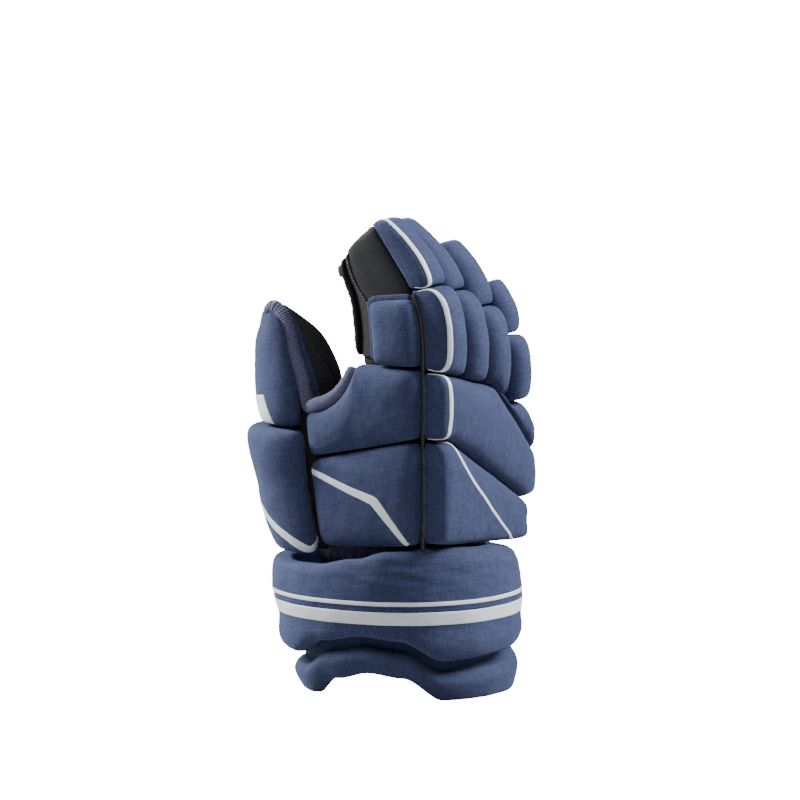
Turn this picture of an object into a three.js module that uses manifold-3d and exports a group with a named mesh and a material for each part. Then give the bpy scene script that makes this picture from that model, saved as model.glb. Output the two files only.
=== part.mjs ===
// Ice hockey glove for the right hand, standing on its cuff with the fingers up.
// Units are millimetres. +Z is up, -Y is the back of the hand, +Y the palm, -X the thumb and index side.
// The pieces are drawn round the middle of the cuff, and the whole glove is then set on its origin.

import * as THREE from 'three';
import Module from 'manifold-3d';

const wasm = await Module();
wasm.setup();

// Clearances and walls
const gap = 0.3;
const rootGap = 0.8;
const thumbPadSeat = 0.6;
const shellWall = 2.4;
const stallWall = 2.0;
const linerWall = 2.2;

// Hand shell
const wristZ = 88;
const handHigh = 127;
const handWide = 107;
const handDeep = 85;
const handMidX = 3.75;
const backY = -47;

// Fingers: width, root height, stall height, reach of the tip towards the palm, roll thickness
const fingerDeep = 47;
const roundSquare = 3.4;
const fingers = [
  { name: 'index', wide: 26.4, root: 213, high: 87, reach: 36, roll: 19 },
  { name: 'middle', wide: 27.5, root: 204, high: 92, reach: 42, roll: 20.5 },
  { name: 'ring', wide: 27.2, root: 195, high: 85, reach: 25, roll: 20 },
  { name: 'little', wide: 23.8, root: 182, high: 71, reach: 9, roll: 20.5 },
];
const fingerGap = 0.7;
const rollOverhang = 0.15;
const rollJoint = 0.57;
const rollEnd = 1.05;
const tipRollShare = 0.79;
const palmStripThick = 3.4;
const palmStripShare = 0.46;
const palmStripEnd = 0.95;
const tipFall = 0.4;

// Pads of the hand
const backPadThick = 19;
const sidePadThick = 13;
const outerPadThick = 8;
const fingerSidePadThick = 11;
const padSeam = 2.2;
const backPadWest = -52;
const backPadEast = 63.5;
const lowerPadEast = 53.5;
const sidePadPalmY = 32;
const sidePadSplitZ = 151;
const sideSplitRise = 17;
const outerSplitZ = 148;
const outerUpperPalmY = 4;
const outerLowerPalmY = 14;
const sidePadFootZ = 95;
const backFootZ = 101.5;
const backFootFall = 9.4;
const kneeX = 12;
const kneeZ = 195;
const steepEndZ = 147;
const ledgeZ = 168;
const ledgeEndX = -41;
const fallEndX = 52;
const fallEndZ = 119;
const littlePadWest = 24;
const littlePadEast = 66.5;
const rootClear = 1.5;
const rampReach = 9;
const shoulderFall = 12;
const shoulderReach = 16;
const webStartY = -10;
const webDrop = 33;
const webReach = 13;

// Thumb
const thumbFootZ = 92;
const thumbHigh = 154;
const thumbRadius = 21;
const thumbInset = 19.75;
const thumbOutY = 48;
const thumbUpperPadThick = 12;
const thumbLowerPadThick = 15;
const thumbLip = 0.32;
const thumbLipReach = 40;
const bindingRadius = 3.3;

// Cuff
const cuffHalfX = 76;
const cuffHalfY = 79;
const cuffSquare = 2.15;
const cuffShear = 0.13;
const cuffMidZ = 60;
const bandThick = 19;
const bandLift = 26;
const bandPeakZ = 98;
const backLift = 11;
const waistDepth = 2.2;
const waistZ = 48;
const waistReach = 9;
const flareRim = 10.5;
const flareThick = 10.5;
const notchHigh = 17;
const notchClear = 2;
const flareTopZ = 58;
const flareLipShare = 0.85;
const flareTopThick = 3.3;
const linerFootZ = 46;

// Trim
const pipingWide = 3.4;
const pipingRise = 1.9;
const stripeWide = 4.6;
const backStripeWide = 2.8;
const stripeRise = 1.8;

// Colours
const navy = new THREE.MeshStandardMaterial({ color: 0x2b3a63, roughness: 0.85, metalness: 0 });
const leather = new THREE.MeshStandardMaterial({ color: 0x141416, roughness: 0.6, metalness: 0 });
const mesh = new THREE.MeshStandardMaterial({ color: 0x242527, roughness: 0.8, metalness: 0 });
const knit = new THREE.MeshStandardMaterial({ color: 0x4a4c6c, roughness: 0.9, metalness: 0 });
const white = new THREE.MeshStandardMaterial({ color: 0xd8dde2, roughness: 0.5, metalness: 0 });

// Sections of the hand shell from wrist to knuckles: widths and depths are shares of the hand's sizes.
const handRows = [
  { at: 0, wide: 0.95, deep: 1.06, square: 2.5 },
  { at: 0.17, wide: 0.97, deep: 1.0, square: 3.2 },
  { at: 0.35, wide: 0.98, deep: 0.93, square: 4 },
  { at: 0.5, wide: 0.99, deep: 0.87, square: 4.2 },
  { at: 0.72, wide: 1, deep: 0.72, square: 4.4 },
  { at: 1, wide: 1, deep: 0.57, square: 4.6 },
];

// Sections of a finger stall: rise of its height, lean of its reach, depth and width of its sizes,
// and drop, the fall of the palm edge below the back edge as a share of the depth.
const fingerRows = [
  { at: 0, rise: 0, lean: 0, deep: 1, drop: 0, wide: 1 },
  { at: 0.32, rise: 0.32, lean: 0.04, deep: 1, drop: 0.03, wide: 1 },
  { at: 0.57, rise: 0.57, lean: 0.24, deep: 0.93, drop: 0.15, wide: 0.98 },
  { at: 0.8, rise: 0.8, lean: 0.62, deep: 0.8, drop: 0.32, wide: 0.95 },
  { at: 1, rise: 1, lean: 1, deep: 0.56, drop: 0.47, wide: 0.84 },
  { at: 1.08, rise: 1.03, lean: 1.16, deep: 0.3, drop: 0.52, wide: 0.56 },
];

// Sections of the thumb stall: x and y are shares of its outward place, radius of its radius.
const thumbRows = [
  { at: 0, x: 1, y: 0.7, radius: 0.9 },
  { at: 0.14, x: 1, y: 0.83, radius: 0.96 },
  { at: 0.28, x: 1, y: 0.91, radius: 1 },
  { at: 0.5, x: 1, y: 0.98, radius: 1 },
  { at: 0.7, x: 1.02, y: 1.0, radius: 1 },
  { at: 0.82, x: 1.13, y: 1.05, radius: 0.84 },
  { at: 0.89, x: 1.27, y: 1.06, radius: 0.63 },
  { at: 0.95, x: 1.43, y: 1.14, radius: 0.4 },
  { at: 1, x: 1.57, y: 1.24, radius: 0.18 },
];

// Rim of the cuff round the arm: top is the band's upper edge as a share of its peak, notch the lift of the
// lower rim and back the lift of the band's lower edge at the back of the hand, both as shares.
const cuffRows = [
  { at: 0, top: 0.878, notch: 1, back: 0 },
  { at: 22, top: 0.867, notch: 0.75, back: 0 },
  { at: 40, top: 0.857, notch: 0, back: 0 },
  { at: 140, top: 0.857, notch: 0, back: 0 },
  { at: 163, top: 0.867, notch: 0.7, back: 0 },
  { at: 188, top: 0.918, notch: 1, back: 0 },
  { at: 208, top: 0.974, notch: 0.85, back: 0 },
  { at: 231, top: 1, notch: 0, back: 0 },
  { at: 270, top: 0.969, notch: 0, back: 0.2 },
  { at: 308, top: 0.898, notch: 0, back: 1 },
  { at: 330, top: 0.888, notch: 0.75, back: 0.3 },
  { at: 360, top: 0.878, notch: 1, back: 0 },
];

function lerp(from, to, share) {
  return from + (to - from) * share;
}

function smooth(share) {
  const t = Math.min(Math.max(share, 0), 1);
  return t * t * (3 - 2 * t);
}

// Value of a column between the rows, by cubic pieces whose slopes run from row to row.
function curve(rows, column, at) {
  let k = 0;
  while (k < rows.length - 2 && at > rows[k + 1].at) {
    k += 1;
  }
  const before = rows[Math.max(k - 1, 0)];
  const low = rows[k];
  const high = rows[k + 1];
  const after = rows[Math.min(k + 2, rows.length - 1)];
  const span = high.at - low.at;
  const t = Math.min(Math.max((at - low.at) / span, -0.2), 1.2);
  const slopeLow = ((high[column] - before[column]) / (high.at - before.at)) * span;
  const slopeHigh = ((after[column] - low[column]) / (after.at - low.at)) * span;
  const rise = high[column] - low[column];
  const square = 3 * rise - 2 * slopeLow - slopeHigh;
  const cube = slopeLow + slopeHigh - 2 * rise;
  return low[column] + t * (slopeLow + t * (square + t * cube));
}

// Straight steps between the rows, eased at each row.
function easedStep(rows, column, at) {
  let k = 0;
  while (k < rows.length - 2 && at > rows[k + 1].at) {
    k += 1;
  }
  const share = (at - rows[k].at) / (rows[k + 1].at - rows[k].at);
  return lerp(rows[k][column], rows[k + 1][column], smooth(share));
}

// Signed power, for rounded squares
function bent(value, power) {
  return Math.sign(value) * Math.abs(value) ** power;
}

// Closed solid from points and triangles, turned so that its faces point out
function solid(points, faces) {
  let volume = 0;
  const cross = new THREE.Vector3();
  for (const [a, b, c] of faces) {
    cross.crossVectors(points[b], points[c]);
    volume += points[a].dot(cross);
  }
  const index = volume > 0 ? faces.flat() : faces.map(([a, b, c]) => [a, c, b]).flat();
  const geometry = new THREE.BufferGeometry();
  const flat = points.flatMap((p) => [p.x, p.y, p.z]);
  geometry.setAttribute('position', new THREE.Float32BufferAttribute(flat, 3));
  geometry.setIndex(index);
  return geometry;
}

// Rings of equal point counts joined one to the next; the two ends are capped, or the stack closes on itself
function ringStack(rings, closesOnItself = false) {
  const count = rings[0].length;
  const points = rings.flat();
  const faces = [];
  const last = closesOnItself ? rings.length : rings.length - 1;
  for (let r = 0; r < last; r += 1) {
    const next = (r + 1) % rings.length;
    for (let k = 0; k < count; k += 1) {
      const a = r * count + k;
      const b = r * count + ((k + 1) % count);
      const c = next * count + ((k + 1) % count);
      const d = next * count + k;
      faces.push([a, b, c], [a, c, d]);
    }
  }
  if (!closesOnItself) {
    for (const r of [0, rings.length - 1]) {
      const middle = new THREE.Vector3();
      rings[r].forEach((p) => middle.addScaledVector(p, 1 / count));
      const centre = points.push(middle) - 1;
      for (let k = 0; k < count; k += 1) {
        const a = r * count + k;
        const b = r * count + ((k + 1) % count);
        faces.push(r === 0 ? [b, a, centre] : [a, b, centre]);
      }
    }
  }
  return solid(points, faces);
}

function toManifold(geometry) {
  const vertProperties = new Float32Array(geometry.getAttribute('position').array);
  const triVerts = new Uint32Array(geometry.getIndex().array);
  return new wasm.Manifold(new wasm.Mesh({ numProp: 3, vertProperties, triVerts }));
}

function fromManifold(manifold) {
  const result = manifold.getMesh();
  const geometry = new THREE.BufferGeometry();
  const positions = new Float32Array(result.vertProperties);
  geometry.setAttribute('position', new THREE.BufferAttribute(positions, 3));
  geometry.setIndex(Array.from(result.triVerts));
  return geometry;
}

// The largest connected piece of a cut, so that slivers fall away
function cutBody(base, cutters) {
  let left = toManifold(base);
  for (const cutter of cutters) {
    left = left.subtract(toManifold(cutter));
  }
  const pieces = left.decompose();
  pieces.sort((a, b) => b.volume() - a.volume());
  return fromManifold(pieces[0]);
}

// Hand shell

function handSection(z) {
  const at = (z - wristZ) / handHigh;
  const halfY = (curve(handRows, 'deep', at) * handDeep) / 2;
  return {
    x: handMidX,
    y: backY + halfY,
    halfX: (curve(handRows, 'wide', at) * handWide) / 2,
    halfY,
    square: curve(handRows, 'square', at),
  };
}

function sectionPoint(section, angle, inset, z) {
  const power = 2 / section.square;
  const x = section.x + (section.halfX - inset) * bent(Math.cos(angle), power);
  const y = section.y + (section.halfY - inset) * bent(Math.sin(angle), power);
  return new THREE.Vector3(x, y, z);
}

function circleOf(count, point) {
  return Array.from({ length: count }, (_, k) => point((k / count) * 2 * Math.PI));
}

// Middle line of each finger, side by side across the hand
const handWest = handMidX - handWide / 2;
let fingerEdge = handWest;
for (const finger of fingers) {
  finger.x = fingerEdge + finger.wide / 2;
  fingerEdge += finger.wide + fingerGap;
}

// Height of the finger roots across the hand
function rootZ(x) {
  const rows = fingers.map((finger) => ({ at: finger.x, root: finger.root }));
  if (x < rows[0].at) {
    return rows[0].root;
  }
  return x > rows[3].at ? rows[3].root : curve(rows, 'root', x);
}

const handSides = 28;
const handShares = [0, 0.17, 0.35, 0.55, 0.78, 1];

function handRing(share, inset) {
  const section = handSection(wristZ + share * handHigh);
  return circleOf(handSides, (angle) => {
    const flat = sectionPoint(section, angle, inset, 0);
    const z = lerp(wristZ, rootZ(flat.x), share);
    return sectionPoint(handSection(z), angle, inset, z);
  });
}

function handSolid(inset) {
  return ringStack(handShares.map((share) => handRing(share, inset)));
}

function handTube() {
  const outer = handShares.map((share) => handRing(share, 0));
  const inner = handShares.map((share) => handRing(share, shellWall)).reverse();
  return ringStack([...outer, ...inner], true);
}

// Fingers

function fingerAt(finger, at) {
  const drop = curve(fingerRows, 'drop', at);
  return {
    y: backY + curve(fingerRows, 'lean', at) * finger.reach,
    z: finger.root + curve(fingerRows, 'rise', at) * finger.high,
    across: new THREE.Vector3(0, Math.sqrt(1 - drop * drop), -drop),
    deep: curve(fingerRows, 'deep', at) * fingerDeep,
    wide: curve(fingerRows, 'wide', at) * finger.wide,
  };
}

function fingerPoint(finger, at, angle, inset) {
  const row = fingerAt(finger, at);
  const power = 2 / roundSquare;
  const x = finger.x + (row.wide / 2 - inset) * bent(Math.cos(angle), power);
  const along = row.deep / 2 + (row.deep / 2 - inset) * bent(Math.sin(angle), power);
  const point = new THREE.Vector3(x, row.y, row.z).addScaledVector(row.across, along);
  const rootShare = Math.max(0, 1 - at / 0.32);
  point.z += rootShare * (rootZ(x) + rootGap - finger.root);
  return point;
}

const stallSides = 14;
const stallShares = [0, 0.32, 0.57, 0.8, 1, 1.08];

function stall(finger) {
  const outer = stallShares.map((at) => circleOf(stallSides, (a) => fingerPoint(finger, at, a, 0)));
  const inner = stallShares.map((at) => {
    const sunk = at > 1 ? 1.03 : at;
    return circleOf(stallSides, (a) => fingerPoint(finger, sunk, a, stallWall));
  });
  return ringStack([...inner.reverse(), ...outer]);
}

// Pads

// Thickness profile of a pad across one direction: full in the middle, round at the edges
function bulge(share, edge) {
  return (1 - Math.min(Math.abs(share), 1) ** edge) ** (1 / edge);
}

function padShares(count) {
  const inner = count > 1 ? 0.64 : 0;
  const middle = Array.from({ length: count }, (_, k) => lerp(-inner, inner, k / Math.max(count - 1, 1)));
  return [-1, -0.975, -0.88, ...middle, 0.88, 0.975, 1];
}

// Place under a pad for x and y in -1..1, with the corners of its outline drawn in
function padFoot(pad, x, y, grow) {
  const s = x * (1 - pad.corner * Math.abs(y) ** 8) * (1 + grow / pad.halfS);
  const v = y * (1 - pad.corner * Math.abs(x) ** 8) * (1 + grow / pad.halfV);
  return pad.place(s, v);
}

// Outer surface of a pad. place(s, v) gives the foot point and the outward direction for s and v in -1..1.
function padTop(pad, x, y, grow = 0) {
  const foot = padFoot(pad, x, y, grow);
  const crown = 1 + pad.crown * (1 - x * x) * (1 - y * y);
  const high = pad.thick * crown * bulge(x, pad.edgeS) * bulge(y, pad.edgeV);
  return foot.point.clone().addScaledVector(foot.out, (pad.seat ?? gap) + high + grow);
}

function padSolid(pad, grow = 0) {
  const across = padShares(pad.stepsS);
  const along = padShares(pad.stepsV);
  const rows = along.length;
  const points = [];
  const faces = [];
  const top = [];
  const bottom = [];
  for (const [i, x] of across.entries()) {
    for (const [j, y] of along.entries()) {
      const border = i === 0 || j === 0 || i === across.length - 1 || j === rows - 1;
      const high = padTop(pad, x, y, grow);
      top.push(points.push(high) - 1);
      if (border) {
        bottom.push(points.length - 1);
      } else {
        const foot = padFoot(pad, x, y, grow);
        const low = foot.point.clone().addScaledVector(foot.out, (pad.seat ?? gap) - grow);
        bottom.push(points.push(low) - 1);
      }
    }
  }
  for (let i = 0; i < across.length - 1; i += 1) {
    for (let j = 0; j < rows - 1; j += 1) {
      const p = i * rows + j;
      const q = p + rows;
      faces.push([top[p], top[q], top[q + 1]], [top[p], top[q + 1], top[p + 1]]);
      faces.push([bottom[p], bottom[q + 1], bottom[q]], [bottom[p], bottom[p + 1], bottom[q + 1]]);
    }
  }
  const kept = faces.filter(([a, b, c]) => a !== b && b !== c && a !== c);
  return solid(points, kept);
}

// A roll on the back of a finger, between two shares of the finger's length; a tip roll thins out at its end
function rollPad(finger, from, to, thick, tipShare) {
  return {
    thick,
    edgeS: 4.2,
    edgeV: 5,
    crown: 0.06,
    corner: 0.05,
    halfS: finger.wide / 2,
    halfV: (finger.high * (to - from)) / 2,
    stepsS: 1,
    stepsV: 3,
    place: (s, v) => {
      const at = lerp(from, to, (v + 1) / 2);
      const row = fingerAt(finger, at);
      const half = row.wide / 2 + rollOverhang * (1 - tipShare * smooth((at - 0.9) / 0.15));
      const thinned = 1 - tipShare * tipFall * smooth((at - 0.72) / 0.35);
      return {
        point: new THREE.Vector3(finger.x + s * half, row.y, row.z),
        out: row.across.clone().multiplyScalar(-thinned),
      };
    },
  };
}

const pads = {};
for (const finger of fingers) {
  const seam = padSeam / 2 / finger.high;
  const tipThick = finger.roll * tipRollShare;
  pads[`${finger.name}_middle_roll`] = rollPad(finger, seam, rollJoint - seam, finger.roll, 0);
  pads[`${finger.name}_tip_roll`] = rollPad(finger, rollJoint + seam, rollEnd, tipThick, 1);
}

// Back of the hand: a flat field that fans out a little towards its sides
function onBack(x, z) {
  const fan = 0.1 * (x / handWide);
  return {
    point: new THREE.Vector3(x, backY, z),
    out: new THREE.Vector3(fan, -1, 0).normalize(),
  };
}

// Thumb side and outer side of the hand; side is -1 or 1
function onSide(side, y, z) {
  const section = handSection(Math.min(z, wristZ + handHigh));
  return {
    point: new THREE.Vector3(section.x + side * section.halfX, y, z),
    out: new THREE.Vector3(side, 0, 0),
  };
}

// Lower edge of the knuckle pad: level by the thumb side, then falling across the hand
function knuckleLow(x) {
  const share = (x - ledgeEndX) / (fallEndX - ledgeEndX);
  return lerp(ledgeZ, fallEndZ, Math.min(Math.max(share, 0), 1));
}

// Upper edge of the knuckle pad: gentle fall to the knee, then steep
function knuckleHigh(x) {
  const gentle = lerp(fingers[0].root - padSeam, kneeZ, (x - backPadWest) / (kneeX - backPadWest));
  const steep = lerp(kneeZ, steepEndZ, (x - kneeX) / (backPadEast - kneeX));
  return x < kneeX ? gentle : steep;
}

function betweenEdges(low, high, v) {
  return lerp(low, high, (v + 1) / 2);
}

pads.knuckle_pad = {
  thick: backPadThick,
  edgeS: 12,
  edgeV: 5,
  crown: 0.12,
  corner: 0.05,
  halfS: (backPadEast - backPadWest) / 2,
  halfV: 22,
  stepsS: 6,
  stepsV: 2,
  place: (s, v) => {
    const x = betweenEdges(backPadWest, backPadEast, s);
    return onBack(x, betweenEdges(knuckleLow(x), knuckleHigh(x), v));
  },
};

pads.lower_back_pad = {
  thick: backPadThick,
  edgeS: 12,
  edgeV: 6,
  crown: 0.06,
  corner: 0.05,
  halfS: (backPadEast - backPadWest) / 2,
  halfV: 25,
  stepsS: 5,
  stepsV: 2,
  place: (s, v) => {
    const x = betweenEdges(backPadWest, lowerPadEast, s);
    const foot = backFootZ - backFootFall * ((x - backPadWest) / (lowerPadEast - backPadWest));
    return onBack(x, betweenEdges(foot, knuckleLow(x) - padSeam, v));
  },
};

pads.little_knuckle_pad = {
  thick: backPadThick * 0.88,
  edgeS: 7,
  edgeV: 3.2,
  crown: 0.05,
  corner: 0.1,
  halfS: 22,
  halfV: 9,
  stepsS: 4,
  stepsV: 1,
  place: (s, v) => {
    const x = betweenEdges(littlePadWest, littlePadEast, s);
    const low = knuckleHigh(x) + padSeam;
    const rootEdge = fingers[3].root - rootClear;
    const underRing = (kneeZ - rootEdge - 2 * rootClear) * Math.max(0, 1 - (x - littlePadWest) / rampReach);
    const high = rootEdge + underRing - shoulderFall * smooth((x - littlePadEast) / shoulderReach + 1);
    return onBack(x, betweenEdges(low, high, v));
  },
};

// Upper side pad on the thumb side: its top drops in a hollow curve towards the thumb's crotch
const sideBackY = backY + 0.6;

function sideHigh(y) {
  const fallen = y > webStartY ? webDrop * (1 - Math.exp(-(y - webStartY) / webReach)) : 0;
  return fingers[0].root - 1 - fallen;
}

function sideSplit(y) {
  return lerp(sidePadSplitZ, sidePadSplitZ + sideSplitRise, (sidePadPalmY - y) / (sidePadPalmY - sideBackY));
}

pads.upper_side_pad = {
  thick: sidePadThick,
  edgeS: 8,
  edgeV: 5,
  crown: 0.12,
  corner: 0.05,
  halfS: 37,
  halfV: 20,
  stepsS: 6,
  stepsV: 2,
  place: (s, v) => {
    const y = betweenEdges(sideBackY, sidePadPalmY + 1.5 * v, s);
    return onSide(-1, y, betweenEdges(sideSplit(y) + padSeam / 2, sideHigh(y), v));
  },
};

pads.lower_side_pad = {
  thick: sidePadThick,
  edgeS: 8,
  edgeV: 7,
  crown: 0.1,
  corner: 0.06,
  halfS: 36,
  halfV: 30,
  stepsS: 3,
  stepsV: 3,
  place: (s, v) => {
    const y = betweenEdges(sideBackY, sidePadPalmY - 5 + 3.5 * v, s);
    const foot = lerp(sidePadFootZ, sidePadFootZ + 5, (sidePadPalmY - y) / 75);
    return onSide(-1, y, betweenEdges(foot, sideSplit(y) - padSeam / 2, v));
  },
};

// The outer side, away from the thumb, has two plain pads
pads.outer_upper_pad = {
  thick: outerPadThick,
  edgeS: 6,
  edgeV: 5,
  crown: 0.1,
  corner: 0.07,
  halfS: 25,
  halfV: 17,
  stepsS: 2,
  stepsV: 2,
  place: (s, v) => {
    const y = betweenEdges(sideBackY, outerUpperPalmY, s);
    return onSide(1, y, betweenEdges(outerSplitZ, fingers[3].root - 1, v));
  },
};

pads.outer_lower_pad = {
  thick: outerPadThick,
  edgeS: 6,
  edgeV: 6,
  crown: 0.1,
  corner: 0.07,
  halfS: 30,
  halfV: 26,
  stepsS: 2,
  stepsV: 2,
  place: (s, v) => {
    const y = betweenEdges(sideBackY, outerLowerPalmY, s);
    return onSide(1, y, betweenEdges(sidePadFootZ, outerSplitZ - padSeam, v));
  },
};

// Side pads of the index and little fingers, behind their rolls
function fingerSidePad(finger, side, from, to, palmInset) {
  return {
    thick: fingerSidePadThick,
    edgeS: 5,
    edgeV: 6,
    crown: 0.12,
    corner: 0.07,
    halfS: 17,
    halfV: (finger.high * (to - from)) / 2,
    stepsS: 1,
    stepsV: 2,
    place: (s, v) => {
      const at = lerp(from, to, (v + 1) / 2);
      const row = fingerAt(finger, at);
      const along = betweenEdges(1.2, row.deep - palmInset, s);
      const x = finger.x + side * (finger.wide / 2);
      const point = new THREE.Vector3(x, row.y, row.z).addScaledVector(row.across, along);
      return { point, out: new THREE.Vector3(side, 0, 0) };
    },
  };
}
pads.index_side_pad = fingerSidePad(fingers[0], -1, 0.02, 0.5, 15.5);
pads.little_side_pad = fingerSidePad(fingers[3], 1, 0.02, 0.5, 15.5);

// Thumb: its axis lies inside the hand's west edge
const thumbOutX = handWest + thumbInset;

function thumbAt(z) {
  const at = (z - thumbFootZ) / thumbHigh;
  return {
    x: curve(thumbRows, 'x', at) * thumbOutX,
    y: curve(thumbRows, 'y', at) * thumbOutY,
    radius: curve(thumbRows, 'radius', at) * thumbRadius,
  };
}

function onThumb(angle, z) {
  const row = thumbAt(z);
  const slope = (thumbAt(z + 1).radius - thumbAt(z - 1).radius) / 2;
  const out = new THREE.Vector3(Math.cos(angle), Math.sin(angle), -slope).normalize();
  const x = row.x + row.radius * Math.cos(angle);
  const y = row.y + row.radius * Math.sin(angle);
  return { point: new THREE.Vector3(x, y, z), out };
}

const thumbSides = 20;

function thumbSolid(inset) {
  const shares = thumbRows.map((row) => row.at);
  const rings = shares.map((at, k) => {
    const first = k === 0 ? inset : 0;
    const last = k === shares.length - 1 ? -inset : 0;
    const z = thumbFootZ + at * thumbHigh;
    const row = thumbAt(z);
    const radius = Math.max(row.radius - inset, 1.2);
    return circleOf(thumbSides, (angle) => {
      const x = row.x + radius * Math.cos(angle);
      const y = row.y + radius * Math.sin(angle);
      return new THREE.Vector3(x, y, z + first + last);
    });
  });
  return ringStack(rings);
}

const degree = Math.PI / 180;
const thumbPalmAngle = 62 * degree;
const thumbSplitZ = 168;

pads.thumb_upper_pad = {
  seat: thumbPadSeat,
  thick: thumbUpperPadThick,
  edgeS: 6,
  edgeV: 4.5,
  crown: 0.05,
  corner: 0.06,
  halfS: 32,
  halfV: 37,
  stepsS: 6,
  stepsV: 5,
  place: (s, v) => {
    const z = betweenEdges(thumbSplitZ + padSeam, thumbFootZ + 0.955 * thumbHigh, v);
    const end = lerp(204, 210, (v + 1) / 2) * degree;
    return onThumb(betweenEdges(thumbPalmAngle, end, s), z);
  },
};

pads.thumb_lower_pad = {
  seat: thumbPadSeat,
  thick: thumbLowerPadThick,
  edgeS: 7,
  edgeV: 7,
  crown: 0.05,
  corner: 0.06,
  halfS: 36,
  halfV: 38,
  stepsS: 6,
  stepsV: 5,
  place: (s, v) => {
    const z = betweenEdges(thumbFootZ - 1, thumbSplitZ, v);
    const end = lerp(197, 200, (v + 1) / 2) * degree;
    const foot = onThumb(betweenEdges(thumbPalmAngle, end, s), z);
    const lip = 1 + thumbLip * smooth((z - thumbSplitZ + thumbLipReach) / thumbLipReach);
    foot.out.multiplyScalar(lip);
    return foot;
  },
};

// Strip of leather along the palm side of each finger, ending in a tab at the tip
function palmStrip(finger) {
  return {
    thick: palmStripThick,
    edgeS: 6,
    edgeV: 10,
    crown: 0,
    corner: 0.1,
    halfS: finger.wide * palmStripShare,
    halfV: (finger.high * palmStripEnd) / 2,
    stepsS: 1,
    stepsV: 3,
    place: (s, v) => {
      const at = lerp(0.06, palmStripEnd, (v + 1) / 2);
      const row = fingerAt(finger, at);
      const x = finger.x + s * row.wide * palmStripShare;
      const point = new THREE.Vector3(x, row.y, row.z).addScaledVector(row.across, row.deep);
      point.z += Math.max(0, 1 - at / 0.32) * (rootZ(x) + gap - finger.root);
      return { point, out: row.across.clone() };
    },
  };
}

// Tubes and ribbons along a path

// Frames along a path: each has its point, its sideways direction and its outward direction
function sweep(frames, halfWide, halfHigh, sides) {
  const rings = frames.map(({ point, side, out }) => circleOf(sides, (angle) => {
    const p = point.clone();
    p.addScaledVector(side, halfWide * Math.cos(angle));
    p.addScaledVector(out, halfHigh * Math.sin(angle));
    return p;
  }));
  return ringStack(rings);
}

function withSides(points, outs) {
  return points.map((point, k) => {
    const after = points[Math.min(k + 1, points.length - 1)];
    const before = points[Math.max(k - 1, 0)];
    const along = after.clone().sub(before).normalize();
    const side = new THREE.Vector3().crossVectors(along, outs[k]).normalize();
    const out = new THREE.Vector3().crossVectors(side, along).normalize();
    return { point, side, out };
  });
}

// A ribbon sewn on a pad: path holds x and y shares of the pad, cut away below the pad's surface
function ribbonOn(pad, path, wide, rise, count) {
  const flat = new THREE.CatmullRomCurve3(path.map(([x, y]) => new THREE.Vector3(x, y, 0)));
  flat.curveType = 'catmullrom';
  flat.tension = 0.2;
  const places = flat.getSpacedPoints(count).map((p) => [p.x, p.y]);
  const points = places.map(([x, y]) => padTop(pad, x, y));
  const outs = places.map(([x, y]) => {
    const step = 0.02;
    const east = padTop(pad, x + step, y).sub(padTop(pad, x - step, y));
    const north = padTop(pad, x, y + step).sub(padTop(pad, x, y - step));
    const out = east.cross(north).normalize();
    return out.dot(pad.place(x, y).out) < 0 ? out.negate() : out;
  });
  const body = sweep(withSides(points, outs), wide / 2, rise, 6);
  return cutBody(body, [padSolid(pad, gap)]);
}

function steps(from, to, count) {
  return Array.from({ length: count + 1 }, (_, k) => lerp(from, to, k / count));
}

// Cuff

function cuffCentreY(z) {
  return cuffShear * (z - cuffMidZ);
}

function cuffPoint(degrees, inset, z) {
  const angle = degrees * degree;
  const east = (Math.abs(Math.cos(angle)) / cuffHalfX) ** cuffSquare;
  const north = (Math.abs(Math.sin(angle)) / cuffHalfY) ** cuffSquare;
  const reach = (east + north) ** (-1 / cuffSquare) - inset;
  return new THREE.Vector3(reach * Math.cos(angle), cuffCentreY(z) + reach * Math.sin(angle), z);
}

function bandTop(degrees) {
  return bandPeakZ * easedStep(cuffRows, 'top', degrees);
}

function notchShare(degrees) {
  return easedStep(cuffRows, 'notch', degrees);
}

function bandFoot(degrees) {
  const back = backLift * easedStep(cuffRows, 'back', degrees);
  return bandLift + back + notchShare(degrees) * (notchHigh - notchClear);
}

// Padded band: a rounded upright section carried round the arm, with a shallow waist round its outside
function bandPoint(degrees, turn) {
  const low = bandFoot(degrees);
  const high = bandTop(degrees);
  const power = 2 / roundSquare;
  const z = (low + high) / 2 + ((high - low) / 2) * bent(Math.sin(turn), power);
  const waist = Math.cos(turn) > 0 ? waistDepth * Math.exp(-(((z - waistZ) / waistReach) ** 2)) : 0;
  const inset = (bandThick / 2) * (1 - bent(Math.cos(turn), power)) + waist;
  return cuffPoint(degrees, inset, z);
}

const cuffSides = 32;

function bandSolid() {
  const turns = 12;
  const rings = Array.from({ length: turns }, (_, k) => {
    const turn = ((k + 0.5) / turns) * 2 * Math.PI;
    return circleOf(cuffSides, (angle) => bandPoint(angle / degree, turn));
  });
  return ringStack(rings, true);
}

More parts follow.
